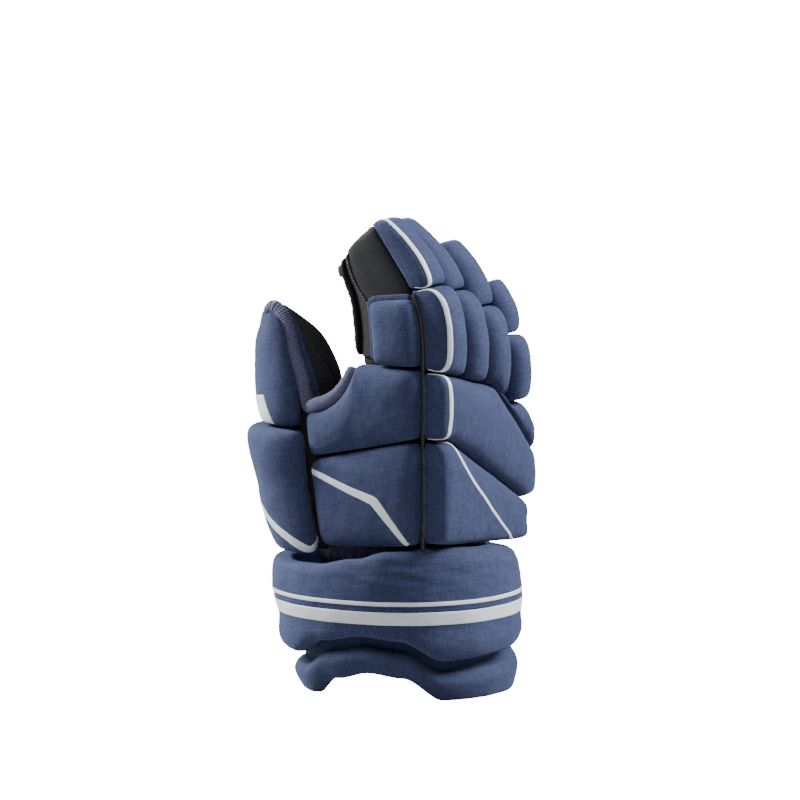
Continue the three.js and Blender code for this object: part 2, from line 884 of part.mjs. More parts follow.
// Flare under the band: thin where it stands inside the band, padded and rounded at the rim.
// inset is its way in from the cuff's oval, up its share of the way from the rim to the band's lower edge, and
// rise, inside the band, its share of the way from the lip to the flare's top.
const bandInnerInset = bandThick + gap;
const flareTopInset = bandInnerInset + flareTopThick;
const flareProfile = [
  { inset: bandInnerInset, up: 0, rise: 1 },
  { inset: bandInnerInset, up: 0, rise: 0.5 },
  { inset: bandInnerInset - 0.16 * bandThick, up: 0.8, rise: 0 },
  { inset: flareRim + 0.1 * flareThick, up: 0.67, rise: 0 },
  { inset: flareRim - 0.19 * flareThick, up: 0.46, rise: 0 },
  { inset: flareRim, up: 0.19, rise: 0 },
  { inset: flareRim + 0.33 * flareThick, up: 0, rise: 0 },
  { inset: flareRim + 0.9 * flareThick, up: 0, rise: 0 },
  { inset: flareRim + flareThick, up: 0.19, rise: 0 },
  { inset: flareRim + 1.14 * flareThick, up: 0.61, rise: 0 },
  { inset: flareTopInset, up: 0, rise: 0.5 },
  { inset: flareTopInset, up: 0, rise: 1 },
];

function flareSolid() {
  const rings = flareProfile.map((row) => circleOf(cuffSides, (angle) => {
    const degrees = angle / degree;
    const foot = notchShare(degrees) * notchHigh;
    const lip = lerp(foot, bandFoot(degrees), flareLipShare);
    const z = row.rise > 0 ? lerp(lip, flareTopZ, row.rise) : lerp(foot, bandFoot(degrees), row.up);
    return cuffPoint(degrees, row.inset, z);
  }));
  return ringStack(rings, true);
}

// Knit liner from inside the cuff up to the hand shell
function linerSolid() {
  const inset = flareTopInset + 2 * gap;
  const levels = [0, 0.45, 1];
  const ringAt = (share, wallInset) => circleOf(cuffSides, (angle) => {
    const z = lerp(linerFootZ, wristZ - gap, share);
    const low = cuffPoint(angle / degree, inset + wallInset, z);
    const high = sectionPoint(handSection(wristZ), angle, wallInset, z);
    return low.lerp(high, smooth((share - 0.2) / 0.8));
  });
  const outer = levels.map((share) => ringAt(share, 0));
  const inner = levels.map((share) => ringAt(share, linerWall)).reverse();
  return ringStack([...outer, ...inner], true);
}

// Building the glove

const glove = new THREE.Group();

function addPiece(name, geometry, material) {
  const piece = new THREE.Mesh(geometry, material);
  piece.name = name;
  glove.add(piece);
}

const handCutter = handSolid(-gap);
const thumbOuter = thumbSolid(0);
const thumbInner = thumbSolid(stallWall);
addPiece('hand_shell', cutBody(handTube(), [thumbInner]), leather);
addPiece('thumb_stall', cutBody(thumbOuter, [thumbInner, handCutter]), leather);
addPiece('wrist_liner', linerSolid(), knit);

for (const finger of fingers) {
  addPiece(`${finger.name}_stall`, stall(finger), mesh);
  addPiece(`${finger.name}_palm_strip`, padSolid(palmStrip(finger)), leather);
}

for (const [name, pad] of Object.entries(pads)) {
  addPiece(name, padSolid(pad), navy);
}

// Knit binding from the thumb's tip down to the crotch and up to the index finger
const bindingRows = [
  { turn: 140, rise: 0.955, lift: 0.5 },
  { turn: 165, rise: 0.985, lift: 0.2 },
  { turn: 195, rise: 0.985, lift: 0.1 },
  { turn: 212, rise: 0.945, lift: 0.1 },
  { turn: 214, rise: 0.88, lift: 0 },
  { turn: 214, rise: 0.8, lift: 0 },
  { turn: 214, rise: 0.72, lift: 0 },
  { turn: 214, rise: 0.64, lift: 0 },
  { turn: 214, rise: 0.585, lift: 0 },
];
const bindingPath = bindingRows.map((row) => {
  const foot = onThumb(row.turn * degree, thumbFootZ + row.rise * thumbHigh);
  return foot.point.addScaledVector(foot.out, bindingRadius * (1 + row.lift) + 2 * gap);
});
for (const y of steps(sidePadPalmY - 5, webStartY + 2, 5)) {
  const foot = onSide(-1, y, sideHigh(y) + bindingRadius + gap);
  bindingPath.push(foot.point.addScaledVector(foot.out, bindingRadius + gap));
}
const bindingLine = new THREE.CatmullRomCurve3(bindingPath);
const bindingPoints = bindingLine.getSpacedPoints(22);
const bindingOuts = bindingPoints.map(() => new THREE.Vector3(-1, 0, 0));
const bindingFrames = withSides(bindingPoints, bindingOuts);
const bindingBody = sweep(bindingFrames, bindingRadius, bindingRadius, 6);
const bindingCutters = [handCutter, thumbSolid(-gap)];
for (const name of ['upper_side_pad', 'thumb_upper_pad', 'thumb_lower_pad', 'index_side_pad']) {
  bindingCutters.push(padSolid(pads[name], gap));
}
addPiece('thumb_binding', cutBody(bindingBody, bindingCutters), knit);

addPiece('cuff_band', bandSolid(), navy);
addPiece('cuff_flare', flareSolid(), navy);

// White piping on the index rolls and the knuckle pad: in from the side, round the corner and along the edge
function hookPath(edgeX, sideX, lowY, highY) {
  const foot = [[sideX, lowY], [lerp(sideX, edgeX, 0.6), lowY], [edgeX, lerp(lowY, highY, 0.08)]];
  const run = steps(0.16, 0.84, 5).map((share) => [edgeX, lerp(lowY, highY, share)]);
  const head = [[edgeX, lerp(lowY, highY, 0.92)], [lerp(sideX, edgeX, 0.6), highY], [sideX, highY]];
  return [...foot, ...run, ...head];
}
const rollHook = hookPath(-0.74, -0.96, -0.92, 0.92);
for (const name of ['index_tip', 'index_middle']) {
  const roll = pads[`${name}_roll`];
  addPiece(`${name}_piping`, ribbonOn(roll, rollHook, pipingWide, pipingRise, 14), white);
}
const knuckleHook = hookPath(-0.93, -0.985, -0.92, 0.92);
addPiece('knuckle_piping', ribbonOn(pads.knuckle_pad, knuckleHook, pipingWide, pipingRise, 14), white);

// Thin slanted stripe on the lower back pad, and the bent stripes on the side and thumb pads
const backStripe = [[-0.92, 0.9], [-0.15, 0], [0.62, -0.92]];
addPiece('back_stripe', ribbonOn(pads.lower_back_pad, backStripe, backStripeWide, stripeRise, 10), white);
const sideStripe = [[0.95, 0.76], [0.3, 0.42], [-0.12, 0.22], [-0.25, 0.02], [-0.6, -0.68], [-0.78, -0.88]];
addPiece('side_stripe', ribbonOn(pads.lower_side_pad, sideStripe, stripeWide, stripeRise, 12), white);
const thumbStripe = [[-0.3, 0.34], [0.1, -0.1], [0.5, -0.5], [0.68, -0.62], [0.8, -0.58], [0.95, -0.5]];
addPiece('thumb_stripe', ribbonOn(pads.thumb_lower_pad, thumbStripe, stripeWide, stripeRise, 12), white);

// The origin lies on the ground under the middle of the glove's box
const box = new THREE.Box3().setFromObject(glove);
const middle = box.getCenter(new THREE.Vector3());
glove.position.set(-middle.x, -middle.y, -box.min.z);

export default glove;
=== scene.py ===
"""Padded ice hockey glove for the right hand, standing on its cuff.

Shapes are worked out in millimetres in the glove's drawing frame: +Z up along the fingers, -Y the back of
the hand, +Y the palm, -X the thumb and index side. put() turns them into metres in the row frame.
"""
import math
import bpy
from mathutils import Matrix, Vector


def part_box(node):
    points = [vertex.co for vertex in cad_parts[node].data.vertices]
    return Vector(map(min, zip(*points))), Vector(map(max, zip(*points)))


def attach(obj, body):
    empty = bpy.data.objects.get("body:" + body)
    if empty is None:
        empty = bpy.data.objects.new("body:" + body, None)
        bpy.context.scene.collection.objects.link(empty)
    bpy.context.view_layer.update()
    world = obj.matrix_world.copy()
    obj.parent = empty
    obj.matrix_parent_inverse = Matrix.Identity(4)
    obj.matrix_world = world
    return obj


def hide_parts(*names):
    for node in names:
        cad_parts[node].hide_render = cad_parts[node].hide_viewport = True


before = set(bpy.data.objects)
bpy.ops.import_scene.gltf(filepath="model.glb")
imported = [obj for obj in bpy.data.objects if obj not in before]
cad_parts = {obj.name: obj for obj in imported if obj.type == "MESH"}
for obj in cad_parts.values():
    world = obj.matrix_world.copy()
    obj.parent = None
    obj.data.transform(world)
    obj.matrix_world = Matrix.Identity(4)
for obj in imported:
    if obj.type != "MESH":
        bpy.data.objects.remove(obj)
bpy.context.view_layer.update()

from types import SimpleNamespace

import bpy
import numpy as np
from mathutils import Vector

# Sizes in millimetres, as in the part's source
GAP = 0.3
ROOT_TUCK = 0.5
WRIST_Z = 88
HAND_HIGH = 127
HAND_WIDE = 107
HAND_DEEP = 85
HAND_MID_X = 3.75
BACK_Y = -47
SIDE_BACK_Y = BACK_Y + 0.6
SHELL_WALL = 2.4
FINGER_DEEP = 47
FINGER_GAP = 0.7
STALL_WALL = 2.0
ROUND_SQUARE = 3.4
ROLL_OVERHANG = 0.15
ROLL_JOINT = 0.57
ROLL_END = 1.05
TIP_ROLL_SHARE = 0.79
TIP_FALL = 0.4
PALM_FALL = 5
PALM_FALL_START = 0.72
PALM_FALL_REACH = 0.33
ROOT_REACH = 0.32
BACK_PAD = 19
SIDE_PAD = 13
OUTER_PAD = 8
FINGER_SIDE_PAD = 11
SEAM = 2.2
PAD_GROW = 0.7
BACK_WEST = -52
BACK_EAST = 63.5
LOWER_EAST = 53.5
SIDE_PALM_Y = 32
SIDE_SPLIT_Z = 151
SIDE_SPLIT_RISE = 17
SIDE_FOOT_Z = 95
OUTER_SPLIT_Z = 148
BACK_FOOT_Z = 101.5
BACK_FOOT_FALL = 9.4
KNEE_X = 12
KNEE_Z = 195
STEEP_END_Z = 147
LEDGE_Z = 168
LEDGE_END_X = -41
FALL_END_X = 52
FALL_END_Z = 119
LITTLE_WEST = 24
LITTLE_EAST = 66.5
WEB_START_Y = -4
WEB_DROP = 33
WEB_REACH = 12
THUMB_FOOT_Z = 92
THUMB_HIGH = 154
THUMB_RADIUS = 21
THUMB_INSET = 19.75
THUMB_OUT_Y = 48
THUMB_LIP = 0.32
THUMB_LIP_REACH = 40
THUMB_UPPER_PAD = 12
THUMB_LOWER_PAD = 15
THUMB_PALM_ANGLE = math.radians(62)
THUMB_SPLIT_Z = 168
THUMB_SEAT = 0.6
THUMB_PAD_END = 0.955
BINDING_RADIUS = 3.9
BINDING_WIDE = 4.3
CUFF_HALF_X = 76
CUFF_HALF_Y = 79
CUFF_SQUARE = 2.15
CUFF_SHEAR = 0.13
CUFF_MID_Z = 60
BAND_THICK = 19
BAND_LIFT = 26
BAND_PEAK_Z = 98
BACK_LIFT = 11
NOTCH_HIGH = 17
NOTCH_CLEAR = 2
FLARE_RIM = 10.5
FLARE_THICK = 10.5
FLARE_TOP_Z = 58
FLARE_LIP_SHARE = 0.85
FLARE_TOP_THICK = 3.3
LINER_FOOT_Z = 46
LINER_WALL = 2.2
RING_LOW_Z = 80
RING_HIGH_Z = 96
TAB_LOW = 0.77
TAB_HIGH = 0.9

# Fineness of the meshes: mm between the points of a pad and of a skin, and degrees round the cuff
PAD_STEP = 1.1
SKIN_STEP = 1.68
CUFF_DEGREES = np.linspace(0, 360, 360, endpoint=False)

# Distance from stitch to stitch, in lengths of a stitch
STITCH_PITCH = 1.55

# Threads and ribs of the cloths in mm, and cells of the leather's grain to a metre
NAVY_PITCH = 0.92
FILM_PITCH = 0.66
RIB_PITCH = 1.15
KNIT_PITCH = 0.8
GRAIN_SIZE = 700.0

# Camera: direction and scale of the photograph; distances in metres, aim in mm
CAMERA_AZIMUTH = -60
CAMERA_ELEVATION = 8
CAMERA_FAR = 12.0
MM_PER_PIXEL = 0.638
IMAGE_PIXELS = 800
AIM_UP = 181.8
AIM_RIGHT = 1.3
SENSOR_MM = 36
LAMP_FAR = 1.6
LAMP_AIM_HIGH = 0.15

# The hand shell's low corner fixes where the drawing frame's origin lies in the row frame
shell_low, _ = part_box("hand_shell")
DRAWING_LOW = np.array([HAND_MID_X - HAND_WIDE / 2, BACK_Y, WRIST_Z])
ORIGIN = np.array(shell_low) - DRAWING_LOW / 1000


def table(*rows):
    """Columns of a table as arrays, by the names in its first row."""
    names = rows[0].split()
    columns = np.array(rows[1:], float).T
    return dict(zip(names, columns))


HAND_ROWS = table(
    "at wide deep square",
    (0, 0.95, 1.06, 2.5),
    (0.17, 0.97, 1.0, 3.2),
    (0.35, 0.98, 0.93, 4),
    (0.5, 0.99, 0.87, 4.2),
    (0.72, 1, 0.72, 4.4),
    (1, 1, 0.57, 4.6),
)
FINGER_ROWS = table(
    "at rise lean deep drop wide",
    (0, 0, 0, 1, 0, 1),
    (0.32, 0.32, 0.04, 1, 0.03, 1),
    (0.57, 0.57, 0.24, 0.93, 0.15, 0.98),
    (0.8, 0.8, 0.62, 0.8, 0.32, 0.95),
    (1, 1, 1, 0.56, 0.47, 0.84),
    (1.08, 1.03, 1.16, 0.3, 0.52, 0.56),
)
THUMB_ROWS = table(
    "at x y radius",
    (0, 1, 0.7, 0.9),
    (0.14, 1, 0.83, 0.96),
    (0.28, 1, 0.91, 1),
    (0.5, 1, 0.98, 1),
    (0.7, 1.02, 1.0, 1),
    (0.82, 1.13, 1.05, 0.84),
    (0.89, 1.27, 1.06, 0.63),
    (0.95, 1.43, 1.14, 0.4),
    (1, 1.57, 1.24, 0.18),
)
CUFF_ROWS = table(
    "at top notch back",
    (0, 0.878, 1, 0),
    (22, 0.867, 0.75, 0),
    (40, 0.857, 0, 0),
    (140, 0.857, 0, 0),
    (163, 0.867, 0.7, 0),
    (188, 0.918, 1, 0),
    (208, 0.974, 0.85, 0),
    (231, 1, 0, 0),
    (270, 0.969, 0, 0.2),
    (308, 0.898, 0, 1),
    (330, 0.888, 0.75, 0.3),
    (360, 0.878, 1, 0),
)
FINGERS = [
    SimpleNamespace(name="index", wide=26.4, root=213, high=87, reach=36, roll=19),
    SimpleNamespace(name="middle", wide=27.5, root=204, high=92, reach=42, roll=20.5),
    SimpleNamespace(name="ring", wide=27.2, root=195, high=85, reach=25, roll=20),
    SimpleNamespace(name="little", wide=23.8, root=182, high=71, reach=9, roll=20.5),
]
finger_edge = HAND_MID_X - HAND_WIDE / 2
for finger in FINGERS:
    finger.x = finger_edge + finger.wide / 2
    finger_edge += finger.wide + FINGER_GAP
ROOT_ROWS = {"at": np.array([f.x for f in FINGERS]), "root": np.array([f.root for f in FINGERS], float)}


# Plain formulas


def lerp(low, high, share):
    return low + (high - low) * share


def smooth(share):
    """Ease from 0 to 1: 3t squared less 2t cubed."""
    t = np.clip(share, 0, 1)
    return t * t * (3 - 2 * t)


def bent(value, power):
    """Signed power, for rounded squares."""
    return np.sign(value) * np.abs(value) ** power


def bulge(share, edge):
    """Thickness profile of a pad: the edge-th root of one less the share to the power edge."""
    return (1 - np.minimum(np.abs(share), 1) ** edge) ** (1 / edge)


def unit(vectors):
    return vectors / np.maximum(np.linalg.norm(vectors, axis=-1, keepdims=True), 1e-12)


def stack(x, y, z):
    return np.stack(np.broadcast_arrays(x, y, z), axis=-1).astype(float)


def grid(first, second):
    """Two arrays over a grid: the first changes from row to row, the second along each row."""
    return np.meshgrid(first, second, indexing="ij")


def run_up(rows):
    """Length run from row to row of points, from 0 at the first."""
    steps = np.linalg.norm(np.diff(rows, axis=0), axis=-1)
    return np.concatenate([0 * steps[:1], np.cumsum(steps, axis=0)])


def at_lengths(lengths, run, rows):
    """Rows read off at these lengths, straight between the given ones."""
    return np.stack([np.interp(lengths, run, column) for column in rows.T], -1)


def end_taper(count, power=60, least=0.02):
    """Share of a full section along a path: the root of one less a high power, so it falls at both ends."""
    return np.sqrt(np.clip(1 - np.abs(np.linspace(-1, 1, count)) ** power, least, 1))


def beside(path, outs):
    """Direction across a path, square to its way and to outs."""
    return unit(np.cross(unit(np.gradient(path, axis=0)), outs))


def drawn(rings):
    """Rings with every point drawn to the ring's middle."""
    return np.repeat(rings.mean(1, keepdims=True), rings.shape[1], 1)


def curve(rows, column, at):
    """Cubic pieces through the rows, each with slopes that run from row to row."""
    ats = rows["at"]
    values = rows[column]
    at = np.asarray(at, float)
    k = np.searchsorted(ats[1:-1], at)
    before = np.maximum(k - 1, 0)
    after = np.minimum(k + 2, len(ats) - 1)
    span = ats[k + 1] - ats[k]
    t = np.clip((at - ats[k]) / span, -0.2, 1.2)
    slope_low = (values[k + 1] - values[before]) / (ats[k + 1] - ats[before]) * span
    slope_high = (values[after] - values[k]) / (ats[after] - ats[k]) * span
    rise = values[k + 1] - values[k]
    square = 3 * rise - 2 * slope_low - slope_high
    return values[k] + t * (slope_low + t * (square + t * (slope_low + slope_high - 2 * rise)))


def eased_step(rows, column, at):
    """Steps between the rows, eased at each row."""
    ats = rows["at"]
    k = np.searchsorted(ats[1:-1], at)
    share = smooth((at - ats[k]) / (ats[k + 1] - ats[k]))
    return lerp(rows[column][k], rows[column][k + 1], share)


def ripple(u, v, length, seed):
    """Uneven waves of about this length: the mean of seven sines in seeded directions."""
    rng = np.random.default_rng(seed)
    total = 0
    for _ in range(7):
        turn = rng.uniform(0, 2 * np.pi)
        wave = length * rng.uniform(0.6, 1.6)
        phase = rng.uniform(0, 6.28)
        total = total + np.sin(2 * np.pi * (u * np.cos(turn) + v * np.sin(turn)) / wave + phase)
    return total / 7


# Making a mesh


def grid_faces(rows, columns, wrap_rows=False, wrap_columns=False):
    """Corners of each square of a grid, as (row, column) numbers that run past the end where it wraps."""
    i, j = grid(np.arange(rows - (not wrap_rows)), np.arange(columns - (not wrap_columns)))
    i, j = i.ravel(), j.ravel()
    return np.stack([i, i + 1, i + 1, i], 1), np.stack([j, j, j + 1, j + 1], 1)


def volume_of(points, faces):
    """Signed volume inside closed squares, by the sum of the cones from the origin."""
    a, b, c, d = (points[faces[:, k]] for k in range(4))
    first = np.einsum("ij,ij->i", a, np.cross(b, c)).sum()
    return first + np.einsum("ij,ij->i", a, np.cross(c, d)).sum()


def put(name, points, faces, uv, material, nodes=(), wall=0):
    """Mesh piece from points in the drawing frame, corners of its squares, and a place on the cloth for each.
    Rings of an open skin run up and round, so its squares are turned to face out; its wall grows inwards."""
    if wall or volume_of(points, faces) < 0:
        faces = faces[:, ::-1]
        uv = uv[:, ::-1]
    mesh = bpy.data.meshes.new(name)
    mesh.vertices.add(len(points))
    mesh.vertices.foreach_set("co", (points / 1000 + ORIGIN).astype(np.float32).ravel())
    mesh.loops.add(faces.size)
    mesh.loops.foreach_set("vertex_index", faces.astype(np.int32).ravel())
    mesh.polygons.add(len(faces))
    mesh.polygons.foreach_set("loop_start", np.arange(0, faces.size, 4, dtype=np.int32))
    mesh.polygons.foreach_set("use_smooth", np.ones(len(faces), bool))
    layer = mesh.uv_layers.new(name="cloth")
    layer.uv.foreach_set("vector", uv.astype(np.float32).ravel())
    mesh.update(calc_edges=True)
    mesh.validate()
    mesh.materials.append(material)
    piece = bpy.data.objects.new(name, mesh)
    bpy.context.scene.collection.objects.link(piece)
    if wall:
        solidify = piece.modifiers.new("wall", "SOLIDIFY")
        solidify.thickness = wall / 1000
        solidify.offset = -1
    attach(piece, "root")
    if nodes:
        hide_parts(*nodes)
    return piece


def tube_mesh(rings, wrap_rows=False):
    """Rings of points joined one to the next, with the ends drawn to a point where they don't wrap."""
    if not wrap_rows:
        rings = np.concatenate([drawn(rings[:1]), rings, drawn(rings[-1:])])
    count, sides = rings.shape[:2]
    rows, columns = grid_faces(count, sides, wrap_rows, True)
    faces = (rows % count) * sides + columns % sides
    along = run_up(rings[:, 0])
    along = np.append(along, along[-1])
    hoop = run_up(rings[count // 2])[-1]
    uv = np.stack([columns / sides * hoop, along[rows]], -1)
    return rings.reshape(-1, 3), faces, uv


def put_skin(name, rings, inside, drop, material, node, wall):
    """Open skin between rings of points, given its wall inwards. A square is left out when any or all of its
    corners lie inside another part, as drop says: np.any or np.all."""
    sides = rings.shape[1]
    i, j = grid_faces(len(rings), sides, False, True)
    faces = i * sides + j % sides
    uv = np.stack([j * SKIN_STEP, run_up(rings).ravel()[faces]], -1)
    kept = ~drop(inside.ravel()[faces], axis=1)
    put(name, rings.reshape(-1, 3), faces[kept], uv[kept], material, [node], wall)


# Hand and fingers


def hand_section(z):
    at = (z - WRIST_Z) / HAND_HIGH
    half_y = curve(HAND_ROWS, "deep", at) * HAND_DEEP / 2
    return SimpleNamespace(
        y=BACK_Y + half_y,
        half_x=curve(HAND_ROWS, "wide", at) * HAND_WIDE / 2,
        half_y=half_y,
        square=curve(HAND_ROWS, "square", at),
    )


def section_point(section, angle, inset, z):
    """Rounded square round the hand: cosine and sine to the power two over its squareness."""
    power = 2 / section.square
    x = HAND_MID_X + (section.half_x - inset) * bent(np.cos(angle), power)
    y = section.y + (section.half_y - inset) * bent(np.sin(angle), power)
    return stack(x, y, z)


def root_z(x):
    """Height of the finger roots across the hand."""
    return curve(ROOT_ROWS, "root", np.clip(x, ROOT_ROWS["at"][0], ROOT_ROWS["at"][-1]))


def hand_point(share, angle, inset):
    """The hand's skin: a rounded square that rises from the wrist to the finger roots."""
    flat = section_point(hand_section(WRIST_Z + share * HAND_HIGH), angle, inset, 0.0)
    z = lerp(WRIST_Z, root_z(flat[..., 0]), share)
    return section_point(hand_section(z), angle, inset, z)


def even_turns(square, count, half_x, half_y):
    """Angles whose points lie evenly round a rounded square of these half widths."""
    fine = np.linspace(0, 2 * np.pi, 8001)
    x = half_x * bent(np.cos(fine), 2 / square)
    run = run_up(stack(x, half_y * bent(np.sin(fine), 2 / square), 0.0))
    return np.interp(np.linspace(0, run[-1], count + 1)[:-1], run, fine)


def finger_at(finger, at):
    drop = curve(FINGER_ROWS, "drop", at)
    return SimpleNamespace(
        y=BACK_Y + curve(FINGER_ROWS, "lean", at) * finger.reach,
        z=finger.root + curve(FINGER_ROWS, "rise", at) * finger.high,
        across=stack(0.0, np.sqrt(1 - drop * drop), -drop),
        deep=curve(FINGER_ROWS, "deep", at) * FINGER_DEEP,
        wide=curve(FINGER_ROWS, "wide", at) * finger.wide,
    )


def root_lift(finger, x, at, over):
    """Rise that brings a finger's foot this far over the line of the roots, gone by a third of its length."""
    return np.maximum(0, 1 - at / ROOT_REACH) * (root_z(x) + over - finger.root)


def palm_fall(at):
    """Fall of the palm side at the fingertip."""
    return PALM_FALL * smooth((at - PALM_FALL_START) / PALM_FALL_REACH)


def finger_point(finger, at, angle, inset):
    """The finger's skin: a rounded square across its length, leaning to the palm towards the tip."""
    row = finger_at(finger, at)
    power = 2 / ROUND_SQUARE
    x = finger.x + (row.wide / 2 - inset) * bent(np.cos(angle), power)
    along = row.deep / 2 + (row.deep / 2 - inset) * bent(np.sin(angle), power)
    point = stack(x, row.y, row.z) + row.across * along[..., None]
    point[..., 2] += root_lift(finger, x, at, -ROOT_TUCK) - palm_fall(at) * smooth((np.sin(angle) + 1) / 2)
    return point


# Thumb


def thumb_at(z):
    at = (z - THUMB_FOOT_Z) / THUMB_HIGH
    return SimpleNamespace(
        x=curve(THUMB_ROWS, "x", at) * (HAND_MID_X - HAND_WIDE / 2 + THUMB_INSET),
        y=curve(THUMB_ROWS, "y", at) * THUMB_OUT_Y,
        radius=curve(THUMB_ROWS, "radius", at) * THUMB_RADIUS,
    )


def on_thumb(angle, z):
    """Point on the thumb's skin and the direction out of it."""
    row = thumb_at(z)
    slope = (thumb_at(z + 1).radius - thumb_at(z - 1).radius) / 2
    out = unit(stack(np.cos(angle), np.sin(angle), -slope))
    return stack(row.x + row.radius * np.cos(angle), row.y + row.radius * np.sin(angle), z), out


# Pads


def on_back(x, z):
    return stack(x, BACK_Y, z), unit(stack(0.1 * x / HAND_WIDE, -1.0, 0.0))


def on_side(side, y, z):
    section = hand_section(np.minimum(z, WRIST_Z + HAND_HIGH))
    return stack(HAND_MID_X + side * section.half_x, y, z), stack(side, 0.0 * y, 0.0 * z)


def between(low, high, v):
    return lerp(low, high, (v + 1) / 2)


def knuckle_low(x):
    share = np.clip((x - LEDGE_END_X) / (FALL_END_X - LEDGE_END_X), 0, 1)
    return lerp(LEDGE_Z, FALL_END_Z, share)


def knuckle_high(x):
    gentle = lerp(FINGERS[0].root - SEAM, KNEE_Z, (x - BACK_WEST) / (KNEE_X - BACK_WEST))
    steep = lerp(KNEE_Z, STEEP_END_Z, (x - KNEE_X) / (BACK_EAST - KNEE_X))
    return np.where(x < KNEE_X, gentle, steep)


def side_high(y):
    """Top of the upper side pad: level, then an exponential fall into the thumb's crotch."""
    fallen = WEB_DROP * (1 - np.exp(-np.maximum(y - WEB_START_Y, 0) / WEB_REACH))
    return FINGERS[0].root - 1 - fallen


def side_split(y):
    """Seam between the two side pads, rising from the palm to the back."""
    return lerp(SIDE_SPLIT_Z, SIDE_SPLIT_Z + SIDE_SPLIT_RISE, (SIDE_PALM_Y - y) / (SIDE_PALM_Y - SIDE_BACK_Y))


def arc_table(half, thick, edge):
    """Shares of a pad's half width, and the length run along its outer face to each."""
    turn = np.linspace(-np.pi / 2, np.pi / 2, 2001)
    shares = np.union1d(np.linspace(-1, 1, 1001), bent(np.sin(turn), 2 / edge))
    return shares, run_up(stack(shares * half, thick * bulge(shares, edge), 0.0))


def make_pad(name, place, thick, edges, crown, corner, halves, seat=GAP, fill=0.8):
    """A pad over place(s, v), with what its outline and its arc tables need."""
    pad = SimpleNamespace(name=name, place=place, thick=thick, crown=crown, corner=corner)
    pad.seat, pad.fill = seat, fill
    pad.edge_s, pad.edge_v = edges
    pad.half_s, pad.half_v = halves
    pad.across = arc_table(halves[0], thick, pad.edge_s)
    pad.along = arc_table(halves[1], thick, pad.edge_v)
    pad.wide = pad.across[1][-1]
    pad.long = pad.along[1][-1]
    pad.seed = sum(ord(letter) for letter in name)
    return pad


def pad_relief(pad, u, v):
    """Soft unevenness of stuffed cloth, and short puckers that die out away from the sewn edges, in mm."""
    soft = 0.55 * ripple(u, v, 26, pad.seed) + 0.2 * ripple(u, v, 9, pad.seed + 1)
    side = np.minimum(u, pad.wide - u)
    end = np.minimum(v, pad.long - v)
    fade = smooth(np.minimum(side, end) / 4)
    pucker_side = np.exp(-side / 7) * ripple(0.25 * u, v, 6.5, pad.seed + 2)
    pucker_end = np.exp(-end / 7) * ripple(u, 0.25 * v, 6.5, pad.seed + 3)
    return fade * (soft + 0.8 * (pucker_side + pucker_end))


def pad_shares(pad, u, v):
    """Shares of the pad's half width and half length at lengths u and v along its profiles."""
    return np.interp(u, pad.across[1], pad.across[0]), np.interp(v, pad.along[1], pad.along[0])


def pad_foot(pad, x, y):
    """Place under the pad, with the corners of its outline drawn in by an eighth power."""
    s = x * (1 - pad.corner * np.abs(y) ** 8) * (1 + PAD_GROW / pad.half_s)
    v = y * (1 - pad.corner * np.abs(x) ** 8) * (1 + PAD_GROW / pad.half_v)
    return pad.place(s, v)


def pad_face(pad, u, v):
    """Outer face at lengths u and v along its profiles: foot, plus the product of both thickness profiles."""
    x, y = pad_shares(pad, u, v)
    point, out = pad_foot(pad, x, y)
    swell = 1 + pad.crown * (1 - x * x) * (1 - y * y)
    high = pad.thick * swell * bulge(x, pad.edge_s) * bulge(y, pad.edge_v) + pad_relief(pad, u, v)
    return point + out * (pad.seat + high)[..., None]


def pad_normal(pad, u, v):
    """Direction out of the pad's face, from small steps along both profiles."""
    step = 0.6
    east = pad_face(pad, np.minimum(u + step, pad.wide), v) - pad_face(pad, np.maximum(u - step, 0), v)
    north = pad_face(pad, u, np.minimum(v + step, pad.long)) - pad_face(pad, u, np.maximum(v - step, 0))
    normal = unit(np.cross(east, north))
    out = pad_foot(pad, *pad_shares(pad, u, v))[1]
    return normal * np.where((normal * out).sum(-1, keepdims=True) < 0, -1, 1)


def two_sided(front, back, u, v):
    """Closed slab from a front and a back grid, joined along the front's border."""
    columns, rows = front.shape[:2]
    front_index = np.arange(columns * rows).reshape(columns, rows)
    back_index = front_index + columns * rows
    border = np.ones((columns, rows), bool)
    border[1:-1, 1:-1] = False
    back_index[border] = front_index[border]
    i, j = grid_faces(columns, rows)
    faces = np.concatenate([front_index[i, j], back_index[i, j][:, ::-1]])
    front_uv = np.stack([u[i, j], v[i, j]], -1)
    uv = np.concatenate([front_uv, front_uv[:, ::-1]])
    points = np.concatenate([front.reshape(-1, 3), back.reshape(-1, 3)])
    used, index = np.unique(faces, return_inverse=True)
    return points[used], index.reshape(faces.shape), uv


def stuffed_pad(pad, material, nodes=()):
    """Closed pad: its outer face and its flat inner face on one grid."""
    columns = int(round(pad.wide / PAD_STEP))
    rows = int(round(pad.long / PAD_STEP))
    u, v = grid(np.linspace(0, pad.wide, columns), np.linspace(0, pad.long, rows))
    point, out = pad_foot(pad, *pad_shares(pad, u, v))
    slab = two_sided(pad_face(pad, u, v), point + out * pad.seat, u, v)
    put(pad.name, *slab, material, nodes)


def roll_foot(x):
    """Lower edge of the rolls: along the pads of the knuckles, a seam above them."""
    over_little = FINGERS[3].root + 0.6 + 11.5 * np.clip(1 - (x - LITTLE_WEST) / 9, 0, 1)
    return np.maximum(knuckle_high(x) + SEAM, np.where(x > LITTLE_WEST - 2, over_little, 0))


